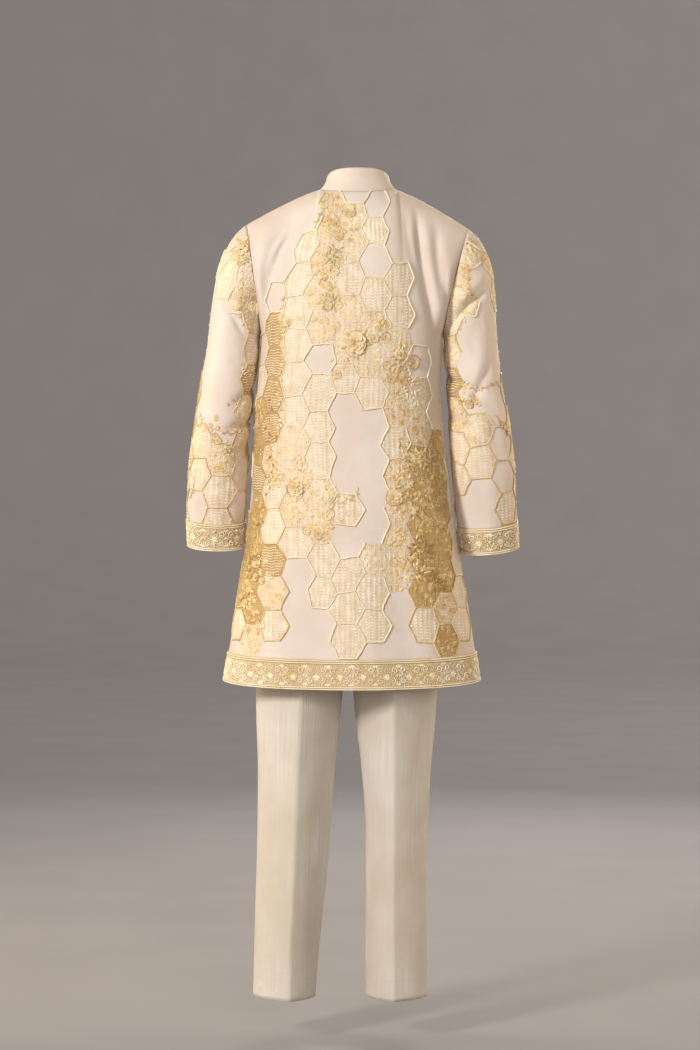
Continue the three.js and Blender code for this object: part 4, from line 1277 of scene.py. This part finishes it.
    def cluster(self, u, v, reach, flowers, leaf="gold_leaf"):
        """Star flowers, tufts and dots heaped round a place."""
        for k in range(flowers):
            angle, away = k * GOLDEN_TURN + self.draw.normal(0, 0.3), reach * math.sqrt((k + 0.3) / flowers)
            at = u + away * math.cos(angle), v + away * math.sin(angle)
            if k % 3 == 2:
                self.rose(*at, self.draw.uniform(0.6, 0.85), leaf=leaf, leaves=2)
            elif k % 3 == 1:
                self.star_flower(*at, self.draw.uniform(0.8, 1.2), "bead")
            else:
                self.tuft(*at, leaf, angle, self.draw.uniform(0.7, 1.1))

    def mirrors(self, u, v, reach, count, kind="pearl"):
        """Pearls or mirrors in widening rings, each on a gold setting."""
        turn, out = golden_turns(count, 0.2)
        u, v = u + reach * out * np.cos(turn), v + reach * out * np.sin(turn)
        self.put("setting", u, v, 0, 1.0, 0.5)
        self.put(kind, u, v, 0, self.draw.uniform(0.8, 1.15, count), 0.9)

    def spray(self, points, kind="gold_leaf", every=9.0, size=0.9, end=None):
        """A stem through flat places, with leaves on both sides in turn."""
        points = np.array(points, float)
        share, fine = np.linspace(0, 1, len(points)), np.linspace(0, 1, 10 * len(points))
        u, v = (hermite(share, column, np.gradient(column, share), fine) for column in points.T)
        self.line("branch", u, v, 0.9)
        length = lengths_along(u, v)
        for k, reach in enumerate(np.arange(every / 2, length[-1], every)):
            cu, cv = np.interp(reach, length, u), np.interp(reach, length, v)
            ahead = np.interp(reach + 2, length, u) - cu, np.interp(reach + 2, length, v) - cv
            angle = math.atan2(ahead[1], ahead[0]) + (0.75 if k % 2 else -0.75) + self.draw.normal(0, 0.12)
            self.put(kind, cu, cv, angle, size * self.draw.uniform(0.8, 1.15), 0.8)
        if end:
            self.star_flower(u[-1], v[-1], 1.2, end)

    def scroll(self, u, v, radius, hand, start):
        """A spiral that winds in from a place, clockwise or not."""
        turn = np.linspace(0, 1, 22)
        angle = start + hand * turn * 3.6 * math.pi / 2 * 1.3
        away = radius * (1 - 0.8 * turn)
        self.line("scroll", u + away * np.cos(angle), v + away * np.sin(angle), 1.1)

    # ---- the finished pieces

    def sew_rims(self):
        """Cords round the cells, bold where plain cloth begins and fine between two cells. Beside each bold cream cord
        lies a thin gold line that is partly a dark thread and partly painted shadow.
        """
        share = np.linspace(0, 1, 7)
        for start, end, kinds in self.rims.values():
            dense = not kinds.strip("dDgsW")
            if dense and (len(kinds) == 2 or self.draw.random() < 0.3):
                continue
            u, v = mix(start[0], end[0], share), mix(start[1], end[1], share)
            u[1:-1] += self.draw.normal(0, 0.45, 5)
            v[1:-1] += self.draw.normal(0, 0.45, 5)
            if not self.fits(u.mean(), v.mean(), 1.0):
                continue
            low, high, under = self.gold_from
            gold = not low < u.mean() < high and v.mean() < under
            self.line("gold_rim" if gold else "rim" if len(kinds) == 1 else "fine_rim", u, v, 1.1)
            if len(kinds) == 1:
                # a thin gold line below and to one side of the bold cord: partly a dark gold thread, partly painted
                # shadow of the cord
                self.line("rim_shade", u + self.shade * 2.1, v - 1.4, 0.4)

    def sew(self):
        self.sew_rims()
        made = []
        for kind, places in self.patches.items():
            if places:
                made.append(self.sew_patches(f"{self.name}_{kind}_patches", places, GROUNDS[kind]))
        for kind, lines in self.lines.items():
            radius, finish, sides = CORD_KINDS[kind]
            made.append(laid_cords(f"{self.name}_{kind}", lines, radius, finish, sides))
        for kind, batches in self.motifs.items():
            rows = np.concatenate(batches)
            if not len(rows):
                continue
            shape, finish = MOTIF_KINDS[kind]
            u, v, angle, lift = rows[:, :4].T
            places, outward, over, upward = self.cloth.lay(u, v, self.base + lift)
            towards = over * np.cos(angle)[:, None] + upward * np.sin(angle)[:, None]
            name, seed = f"{self.name}_{kind}_work", 1 + len(made)
            made.append(laid_motifs(name, shape, places, outward, towards, rows[:, 4:7], finish, seed=seed))
        for thing in made:
            piece(thing, "gold_embroidery")
        return made

    def sew_patches(self, name, places, finish):
        """Six-sided patches, each raised a little towards its middle."""
        steps = self.PATCH_STEPS
        flat, lifts, faces = [], [], []
        for middle in np.array(places):
            ring = np.array(hexagon(*middle, 0.2))
            for first, second in zip(ring, np.roll(ring, -1, axis=0)):
                index = {}
                for i in range(steps + 1):
                    for j in range(steps + 1 - i):
                        index[i, j] = len(flat)
                        flat.append(middle + (first - middle) * i / steps + (second - middle) * j / steps)
                        lifts.append(0.18 + 0.75 * (1 - ((i + j) / steps) ** 3))
                for i in range(steps):
                    for j in range(steps - i):
                        faces.append((index[i, j], index[i, j + 1], index[i + 1, j]))
                        if i + j < steps - 1:
                            faces.append((index[i + 1, j], index[i, j + 1], index[i + 1, j + 1]))
        u, v = self.held_in(*self.sway(*np.array(flat).T))
        placed = self.cloth.lay(u, v, self.base + np.array(lifts))[0]
        faces = np.array(faces)
        if self.cloth.facing > 0:
            faces = faces[:, ::-1]
        corners = placed[faces]
        size = np.linalg.norm(np.cross(corners[:, 1] - corners[:, 0], corners[:, 2] - corners[:, 0]), axis=1)
        faces = faces[size > 0.2]
        made = make_object(name, placed, faces.tolist(), material=finish)
        set_uv(made, np.column_stack([u, v])[faces.ravel()])
        return made
def lengths_along(u, v):
    return np.concatenate([[0], np.cumsum(np.hypot(np.diff(u), np.diff(v)))])


MOTIF_KINDS = {
    name: (make(name, *sizes), finish)
    for name, make, sizes, finish in (
        ("stitch", stitch_motif, (3.3, 1.5, 1.6), CREAM),
        ("dot", stitch_motif, (1.3, 1.15, 0.7), DARK_GOLD),
        ("seed", stitch_motif, (2.1, 0.95, 1.2), LEAF),
        ("gold_seed", stitch_motif, (2.1, 0.95, 1.2), GOLD),
        ("band_seed", stitch_motif, (1.8, 0.8, 1.1), BAND_THREAD),
        ("sewn", stitch_motif, (1.3, 0.35, 0.3), SEWING),
        ("gold_leaf", leaf_motif, (11.0, 4.6, 2.2), GOLD),
        ("dark_leaf", leaf_motif, (15.0, 7.0, 1.8), DARK_GOLD),
        ("moss_leaf", leaf_motif, (10.0, 4.5, 1.4), MOSS),
        ("cream_leaf", leaf_motif, (10.0, 4.0, 2.0), LEAF),
        ("band_leaf", leaf_motif, (9.0, 2.6, 1.6, 4), BAND_THREAD),
        ("petal", petal_motif, (8.0, 8.0, 2.2), PETAL),
        ("sequin", dome_motif, (1.8, 0.4, 7, 1), GOLD),
        ("bead", dome_motif, (1.5, 1.2), GOLD),
        ("setting", dome_motif, (3.0, 0.7), GOLD),
        ("pearl", dome_motif, (2.0, 2.0), PEARL),
        ("mirror", dome_motif, (2.3, 0.6), MIRROR),
    )
}
GROUNDS = {"cell": CELL_GROUND, "gold": GOLD_GROUND}
CORD_KINDS = {
    "rim": (1.65, CORD, 6),
    "fine_rim": (1.05, CORD, 5),
    "gold_rim": (1.15, GOLD, 5),
    # the thin line beside each bold cord: partly dark gold thread, partly painted shadow
    "rim_shade": (0.45, GOLD, 4),
    "branch": (0.8, GOLD, 5),
    "scroll": (1.1, BAND_THREAD, 5),
    "piping": (1.4, BAND_THREAD, 6),
}
# What each letter of a chart stands for: c running stitches, w scalloped rows and W the same on gold, d cream leaves
# over seed stitches, D gold leaves over them and g the same on gold, s sequins, o a plain cell inside a cord, and a
# point for plain cloth. The charts read from the top. On a panel the wearer's left is at the left, and on a sleeve
# the outside of the arm.
BACK_CHART = """
    .....Ddo.....
    ....cDdc.....
    ....cDcoc....
    ...ocDdcc....
    ..oWcDdDd....
    ..cWc.wdDo...
    ..gWcc.wDd...
    ..sWdc..cDg..
    ..WDDc..Dgg..
    ..gcDdc.Dgs..
    .ggccD..Dgg..
    .sgW.ccdDgg..
    .sgD.ccc.gDc.
    .cDc..cc.cgc.
""".split()
FRONT_CHART = """
    ....co.oc....
    ....cc.cc....
    ...oDc.dco...
    ...DDc.cdD...
    ..odwc.cDd...
    ...cDd.Ddc...
    ..ocdDcDcd...
    ..gdc.cc.dg..
    ..gDcc.cDgo..
    ..wDcc..dgc..
    .ogDccc.cDgo.
    .cgD.cccc.gc.
    .cdc..cc.cgc.
""".split()
SLEEVE_CHART = {
    "left": """
        dDcd.
        .cdD.
        ...dw
        ...wD
        s..Wg
        s..dD
        cdDdg
        cccog
        c.c.o
    """.split(),
    "right": """
        DdDd.
        D.ddd
        ...ww
        ...dw
        o..Ws
        d.dDs
        dowwD
        co.cc
        cc..o
    """.split(),
}

# What is sewn over the cells, in the order it is sewn: a kind of work, then where it lies and how it is made.
BACK_WORK = [
    ("rose", [(16, 893, 1.3), (52, 872, 1.1), (-8, 640, 2.1, "moss_leaf", 5)]),
    ("rose", [(104, 372, 1.6), (-80, 352, 1.6), (-124, 606, 1.1, "moss_leaf")]),
    ("cluster", [(-96, 590, 30, 9), (-60, 660, 22, 6, "moss_leaf"), (24, 330, 26, 8, "moss_leaf")]),
    ("cluster", [(30, 720, 28, 10, "moss_leaf"), (34, 790, 26, 9, "moss_leaf"), (16, 846, 22, 7)]),
    ("cluster", [(22, 596, 22, 7), (92, 372, 26, 8, "cream_leaf"), (-134, 340, 26, 9), (170, 214, 26, 9)]),
    ("cluster", [(64, 300, 24, 8, "moss_leaf"), (118, 690, 20, 6), (-118, 440, 24, 7), (150, 400, 24, 7)]),
    ("cluster", [(-96, 250, 26, 8), (196, 118, 24, 7)]),
    (
        "spray",
        [
            ([(126, 742), (136, 690), (124, 630), (138, 566), (128, 506), (144, 448)], "gold_leaf", 9, 1.1),
            ([(150, 560), (160, 500), (152, 430), (166, 360)], "dark_leaf", 13, 0.8),
            ([(-90, 470), (-112, 420), (-104, 360), (-128, 300), (-122, 240)], "gold_leaf", 9, 1.2),
            ([(60, 905), (84, 880), (96, 846)], "moss_leaf"),
            ([(178, 330), (190, 286), (182, 240)], "dark_leaf", 12, 0.9, "bead"),
            ([(60, 350), (34, 342), (4, 352), (-14, 372)], "moss_leaf", 8),
        ],
    ),
    ("heap", [(44, 862, 15, "gold_leaf", 0.9), (40, 806, 17, "moss_leaf", 1.0), (48, 762, 18, "gold_leaf", 1.0)]),
    ("heap", [(42, 712, 16, "moss_leaf", 1.0), (-94, 612, 20, "gold_leaf", 1.1), (-112, 566, 18, "cream_leaf", 1.1)]),
    ("heap", [(-98, 380, 20, "gold_leaf", 1.4), (-150, 430, 18, "gold_leaf", 1.3), (-132, 256, 20, "dark_leaf", 0.9)]),
    ("heap", [(-158, 204, 20, "dark_leaf", 0.9), (-120, 212, 15, "gold_leaf", 1.3), (200, 224, 19, "dark_leaf", 0.9)]),
    ("heap", [(214, 170, 18, "gold_leaf", 1.4), (96, 408, 18, "cream_leaf", 1.3)]),
    ("heap", [(150, 386, 15), (48, 372, 17, "cream_leaf")]),
]
FRONT_WORK = [
    ("heap", [(-92, 660, 18, "gold_leaf", 1.0), (88, 612, 18, "moss_leaf", 1.0), (60, 520, 17, "gold_leaf", 1.1)]),
    ("heap", [(-58, 486, 18, "gold_leaf", 1.1), (-128, 352, 19, "dark_leaf", 0.9), (132, 330, 19, "gold_leaf", 1.3)]),
    ("heap", [(150, 222, 20, "dark_leaf", 0.9), (-168, 208, 20, "gold_leaf", 1.4), (-110, 250, 16, "cream_leaf")]),
    ("rose", [(-70, 690, 1.5, "moss_leaf", 4), (64, 560, 1.4), (-96, 380, 1.4), (20, 300, 1.6, "moss_leaf", 4)]),
    ("cluster", [(84, 640, 26, 8), (-110, 590, 24, 7), (-30, 420, 26, 8, "moss_leaf"), (124, 300, 26, 8)]),
    (
        "spray",
        [
            ([(-118, 730), (-130, 670), (-120, 600), (-134, 530)], "gold_leaf", 9, 1.1),
            ([(104, 500), (122, 440), (112, 370), (134, 300)], "gold_leaf", 9, 1.1),
            ([(-60, 270), (-90, 236), (-84, 190), (-110, 150)], "dark_leaf", 12),
        ],
    ),
]
SLEEVE_WORK = [
    ("heap", [(-58, 596, 15, "gold_leaf", 1.0)]),
    ("cluster", [(-30, 560, 18, 6, "moss_leaf")]),
    ("spray", [([(-12, 540), (10, 500), (16, 456), (34, 420)], "gold_leaf", 8)]),
]
HAND_WORK = {
    "left": [
        ("star_flower", [(-50, 574, 2.4, "mirror", 6)]),
        ("mirrors", [(4, 574, 11, 7), (40, 352, 22, 14), (62, 222, 9, 5), (16, 196, 16, 7)]),
        ("mirrors", [(24, 282, 18, 6, "mirror")]),
        ("cluster", [(-10, 228, 26, 8)]),
        (
            "spray",
            [
                ([(-52, 262), (-30, 236), (6, 226), (52, 230)], "gold_leaf", 8, 0.9, "pearl"),
                ([(28, 560), (44, 530), (40, 500)], "dark_leaf", 9, 0.6),
                ([(52, 548), (60, 520), (50, 492)], "gold_leaf", 8),
                ([(-70, 182), (-62, 150), (-44, 128), (-52, 96)], "gold_leaf", 14, 0.7),
            ],
        ),
    ],
    "right": [
        ("cluster", [(-2, 588, 18, 7)]),
        ("mirrors", [(-6, 580, 10, 4)]),
        ("spray", [([(6, 560), (-4, 530), (-2, 498)], "dark_leaf", 12, 0.6)]),
        ("mirrors", [(64, 318, 24, 14, "mirror"), (6, 318, 20, 6), (-58, 232, 9, 5), (-66, 400, 6, 3)]),
        ("cluster", [(18, 300, 24, 8), (-56, 236, 14, 5)]),
        (
            "spray",
            [
                ([(30, 330), (-4, 316), (-40, 322), (-66, 300)], "gold_leaf", 9, 0.9, "pearl"),
                ([(-30, 264), (-52, 240), (-78, 214)], "gold_leaf", 9, 0.8),
            ],
        ),
    ],
}


def embroider(work, chart, centre, top, over, across=1):
    """Fills a chart's cells, then sews what lies over them."""
    for kind, u, v in rows_of_chart(chart, centre, top, across):
        work.cell(kind, u, v)
    for way, rows in over:
        for row in rows:
            getattr(work, way)(*row)
    return work


def embroider_panel(face, cloth):
    if face == "back":
        work = Embroidery(face, cloth, 7, band=HEM_BAND, gold_from=(-110.0, 120.0, 330.0), loose=9.0)
        return embroider(work, BACK_CHART, 8.0, 912.5, BACK_WORK)
    work = Embroidery(face, cloth, 17, band=HEM_BAND, gold_from=(-115.0, 115.0, 330.0), loose=9.0)
    return embroider(work, FRONT_CHART, -6.0, 851.5, FRONT_WORK)


def embroider_sleeve(hand, cloth):
    seed, top = (27, 572.0) if hand == "left" else (28, 574.0)
    everywhere = (-400.0, -399.0, 420.0)
    work = Embroidery(
        f"{hand}_arm", cloth, seed, band=CUFF_BAND, gold_from=everywhere, shade=HAND[hand], loose=8.0
    )
    embroider(work, SLEEVE_CHART[hand], 6.0, top, SLEEVE_WORK + HAND_WORK[hand], -1)
    for k in range(9):
        work.put("pearl", -96 + 3 * (k % 2), 440 - 22 * k, 0, 0.9, 0.8)
    return work


BAND_PITCH = 42  # from palmette to palmette
FAN, SPREAD = (-1.3, -0.8, -0.4, 0, 0.4, 0.8, 1.3), (-1.0, -0.35, 0.35, 1.0)


def band_ornament(name, cloth, seed, high, u_low, u_high, pearls):
    """Palmettes between scrolls, with seed stitches and piping, on the band along a cloth's lower edge."""
    work = Embroidery(name, cloth, seed, base=BAND_LIFT, rim=2.0)
    count = max(int(round((u_high - u_low) / BAND_PITCH)), 1)
    pitch = (u_high - u_low) / count
    fine = np.linspace(u_low, u_high, 8 * count)
    for level in (1.6, 5.0, high - 5.2, high - 1.4):
        work.line("piping", fine, cloth.ends(fine)[0] + level, 0.9)
    up = math.pi / 2
    for k in range(count):
        u = u_low + (k + 0.5) * pitch
        edge, base = u + pitch / 2, float(cloth.ends(u)[0])
        work.tuft(u, base + 22, "band_leaf", up, 1.0, FAN)
        work.tuft(u, base + 22, "band_leaf", -up, 0.7, (-1.0, -0.4, 0.4, 1.0))
        for hand in (-1, 1):
            work.scroll(u + hand * 12.5, base + 0.66 * high, 6.0, hand, -up)
            work.scroll(u + hand * 11.5, base + 0.3 * high, 5.5, -hand, up)
            work.tuft(u + hand * 17, base + 0.5 * high, "band_leaf", up * (1 - hand), 0.6)
        work.tuft(edge, base + high - 9, "band_leaf", -up, 1.1, SPREAD)
        work.tuft(edge, base + 8, "band_leaf", up, 1.0, SPREAD)
        if pearls:
            work.put("pearl", (u, u, edge), (base + 15, base + high - 12, base + high / 2), 0, 1.1, 1.2)
        elif k % 3 == 0:
            work.put("bead", u, base + 15.5, 0, 1.2, 1.0)
    du, dv = (x.ravel() for x in np.meshgrid(np.arange(u_low + 2, u_high - 2, 2.7), np.arange(8, high - 7, 2.7)))
    du, dv = du + work.draw.uniform(-1, 1, du.shape), dv + work.draw.uniform(-1, 1, dv.shape)
    work.put("band_seed", du, cloth.ends(du)[0] + dv, work.draw.uniform(0, math.pi, du.shape), 1.0, 0.4)
    return work


def seam_stitches(work, start, end, pitch=3.4):
    """Sewing stitches from one flat place to another."""
    u, v = np.linspace(start, end, 200).T
    length = lengths_along(u, v)
    at = np.arange(pitch, length[-1], pitch)
    angle = math.atan2(end[1] - start[1], end[0] - start[0])
    work.put("sewn", np.interp(at, length, u), np.interp(at, length, v), angle, 1.0, 0.25)


# ---------------------------------------------------------------- the camera, the stage and the lights

CAMERA_AT = (0.0151, 4.75, -0.632)
LENS, SENSOR = 129.4, 36.0
SIGHT = 60  # metres, past the studio's far wall
BOWL_START, BOWL_BEND, BOWL_SIDES = 12.0, 4.0, 72  # metres to where the floor begins to rise, and its bend
LIGHTS = [
    ("key", (2.7, 3.1, 0.9), (0, 0, -0.65), (0.7, 0.9), 152, (1.0, 0.97, 0.93)),
    ("camera side", (-0.7, 4.2, 0.3), (0, 0, -0.7), (1.8, 1.8), 50, (1.0, 0.97, 0.96)),
    ("gold left", (2.4, -0.9, 0.1), (0.1, 0, -0.7), (0.9, 2.0), 44, (1.0, 0.82, 0.55)),
    ("gold right", (-2.4, -0.6, 0.1), (-0.1, 0, -0.7), (0.9, 2.0), 32, (1.0, 0.82, 0.55)),
    ("front", (-0.8, -3.6, 0.7), (0, 0, -0.65), (1.8, 1.8), 60, (1.0, 0.97, 0.94)),
    ("wall", (-7.0, -3.0, 5.5), (-6.0, -16.0, 1.0), (5.0, 5.0), 900, (1.0, 0.95, 0.93)),
]

camera = linked("camera", bpy.data.cameras.new("camera"))
camera.data.lens, camera.data.sensor_width, camera.data.sensor_fit = LENS, SENSOR, "HORIZONTAL"
camera.location = CAMERA_AT
camera.rotation_euler = (math.radians(90), 0, math.radians(180))
camera.data.clip_end = SIGHT
bpy.context.scene.camera = camera


def area_light(name, at, towards, size, power, tint):
    lamp = bpy.data.lights.new(name, "AREA")
    lamp.shape, lamp.size, lamp.size_y = "RECTANGLE", *size
    lamp.energy, lamp.color = power, tint
    made = linked(name, lamp)
    made.location = at
    made.rotation_euler = (Vector(towards) - Vector(at)).to_track_quat("-Z", "Y").to_euler()


def dress_stage():
    """A seamless studio floor that curves up into a wall all round."""
    bend = np.linspace(0, math.pi / 2, 9)
    wall = BOWL_START + BOWL_BEND
    reach = np.concatenate([[0.01, 3.0, 7.0], BOWL_START + BOWL_BEND * np.sin(bend), [wall, wall]])
    height = np.concatenate([[0, 0, 0], BOWL_BEND * (1 - np.cos(bend)), [6.0, 9.0]]) - NECK_HEIGHT / 1000
    angle = np.arange(BOWL_SIDES) * 2 * math.pi / BOWL_SIDES
    points = [(r * math.cos(t), r * math.sin(t), z) for r, z in zip(reach, height) for t in angle]
    faces = []
    for low in range(0, len(points) - BOWL_SIDES, BOWL_SIDES):
        for k in range(BOWL_SIDES):
            a, b = low + k, low + (k + 1) % BOWL_SIDES
            faces.append((a, b, b + BOWL_SIDES, a + BOWL_SIDES))
    faces.append(tuple(reversed(range(BOWL_SIDES))))
    paper = Finish("studio paper", 0.85, Emission_Color=srgb("A69F9C"), Emission_Strength=0.27)
    grain = paper.remap(paper.noise(paper.where(), 3.0, 3.0), 0.3, 0.7)
    paper.give("Base Color", paper.blend(grain, srgb("7C7776"), srgb("827D7B")))
    make_object("studio", points, faces, material=paper.material, in_metres=True)
    world = bpy.data.worlds.new("studio air")
    world.use_nodes = True
    air = world.node_tree.nodes["Background"].inputs
    air[0].default_value, air[1].default_value = srgb("C9C2BC"), 0.44
    bpy.context.scene.world = world
    for light in LIGHTS:
        area_light(*light)
    bpy.context.scene.view_settings.view_transform = "Standard"


# ---------------------------------------------------------------- making the set

def declare(made, cut, with_pieces=()):
    """Works out what a piece's form measures when it is laid flat. Nothing else is done with it."""
    width, length, area = cut
    area = round(min(area, width * length), 4)


def make_kurta_panel(face):
    cloth = panel(face)
    columns, gap = cloth.even(96, 0.6), None
    if face == "front":
        columns = np.sort(np.append(columns[np.abs(columns) > 0.006], [-NECK_SLIT_SHARE, NECK_SLIT_SHARE]))
        slit_foot = (PLACKET_FOOT + 12 - HEM_HEIGHT) / (CHEST_HEIGHT - HEM_HEIGHT)

        def gap(a, b):
            return abs(a) < NECK_SLIT_SHARE and b > slit_foot

    made = sew_cloth(f"{face}_panel", cloth, columns, cloth.levels(170), SILK, gap=gap)
    piece(made, "kurta_silk", f"kurta_{face}")
    band_top = HEM_BAND / (CHEST_HEIGHT - HEM_HEIGHT)
    band = sew_cloth(f"{face}_hem_band", cloth, columns, np.linspace(0, band_top, 9), BAND, BAND_CLOTH, BAND_LIFT)
    piece(band, "gold_embroidery", f"kurta_hem_band_{face}")
    work = embroider_panel(face, cloth)
    low, high = cloth.u[0, 0] + 3, cloth.u[0, -1] - 3
    edge = cloth.ends(0.0)[0] + HEM_BAND + 4
    seam_stitches(work, (low + 8, edge), (high - 8, edge))
    sewn = work.sew()
    seed, other = (41, "front_panel") if face == "back" else (42, "back_panel")
    ornament = band_ornament(f"{face}_band", cloth, seed, HEM_BAND, low, high, False).sew()
    declare(made, cloth.cut(), sewn)
    declare(band, cloth.cut(b_span=(0, band_top + 0.004)), ornament)
    return cloth


def make_sleeve(hand):
    cloth = sleeve(hand)
    rows = SLEEVE[hand]["h"]
    cuff_top = 2 - CUFF_BAND / (rows.max() - rows.min())
    turns = np.linspace(-0.5, 1.5, 81)
    made = sew_cloth(f"{hand}_arm_tube", cloth, turns, cloth.levels(120), SILK)
    piece(made, "kurta_silk", f"kurta_sleeve_{hand}")
    band = sew_cloth(f"{hand}_cuff_band", cloth, turns, np.linspace(2, cuff_top, 8), BAND, BAND_CLOTH, BAND_LIFT)
    piece(band, "gold_embroidery", f"kurta_cuff_band_{hand}")
    sewn = embroider_sleeve(hand, cloth).sew()
    seed, low, high = 43 if hand == "left" else 44, cloth.u[0, 0], cloth.u[0, -1]
    ornament = band_ornament(f"{hand}_cuff", cloth, seed, CUFF_BAND, low, high, True).sew()
    declare(made, cloth.cut(), sewn)
    declare(band, cloth.cut(b_span=(cuff_top - 0.01, 2)), ornament)

def make_trousers():
    shares = np.concatenate([np.linspace(0, 0.46, 17), [0.485, 0.5, 0.515], np.linspace(0.54, 1, 17)])
    for leg in ("left", "right"):
        for face in ("back", "front"):
            cloth = leg_panel(leg, face)
            made = sew_cloth(f"{leg}_leg_{face}", cloth, shares, cloth.levels(130), COTTON)
            piece(made, "trouser_cotton", f"trouser_{leg}_{face}")
            work = Embroidery(f"{leg}_{face}_leg", cloth, 50)
            seam_stitches(work, (cloth.u[0, 0] + 4, 38), (cloth.u[0, -1] - 4, 38))
            sewn = work.sew()
            declare(made, cloth.cut(), sewn)
    waist = Cloth(waist_point, (0, 2), (WAIST_HEIGHT + SEAM_GAP, WAIST_HEIGHT + WAISTBAND), 1, 1, closed=True)
    band = sew_cloth("waistband", waist, np.linspace(0, 2, 65), waist.levels(6), COTTON, WAIST_CLOTH)
    declare(piece(band, "trouser_cotton", "trouser_waistband"), waist.cut())


def make_collar_and_placket(front):
    collar = Cloth(collar_point, (-0.5, 1.5), (0, 1), 0.5, 1)
    slit = 0.5 * NECK_SLIT_SHARE / NECK_SHARE
    turns = np.linspace(-0.5 + slit, 1.5 - slit, 121)
    made = sew_cloth("stand_collar", collar, turns, collar.levels(12), SILK, COLLAR_CLOTH)
    piece(made, "kurta_silk", "kurta_collar")
    work = Embroidery("collar", collar, 61)
    seam_stitches(work, (-190, 5), (190, 5), 3.0)
    seam_stitches(work, (0, 5), (0, 40), 2.6)
    declare(made, collar.cut(), work.sew())
    foot = (PLACKET_FOOT - HEM_HEIGHT) / (CHEST_HEIGHT - HEM_HEIGHT)
    columns = np.linspace(-PLACKET_SHARE, PLACKET_SHARE, 9)
    placket = sew_cloth("placket", front, columns, np.linspace(foot, 2, 60), SILK, BAND_CLOTH, BAND_LIFT)
    piece(placket, "kurta_silk", "kurta_placket")
    declare(placket, front.cut((-PLACKET_SHARE - 0.005, PLACKET_SHARE + 0.005), (foot, 2)))


def finish_buttons():
    for k in range(BUTTON_COUNT):
        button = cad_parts[f"kurta_button_{k + 1}"]
        button.data.materials.clear()
        button.data.materials.append(PEARL)


def build():
    dress_stage()
    make_kurta_panel("back")
    front = make_kurta_panel("front")
    for hand in ("left", "right"):
        make_sleeve(hand)
    make_trousers()
    make_collar_and_placket(front)
    finish_buttons()


build()
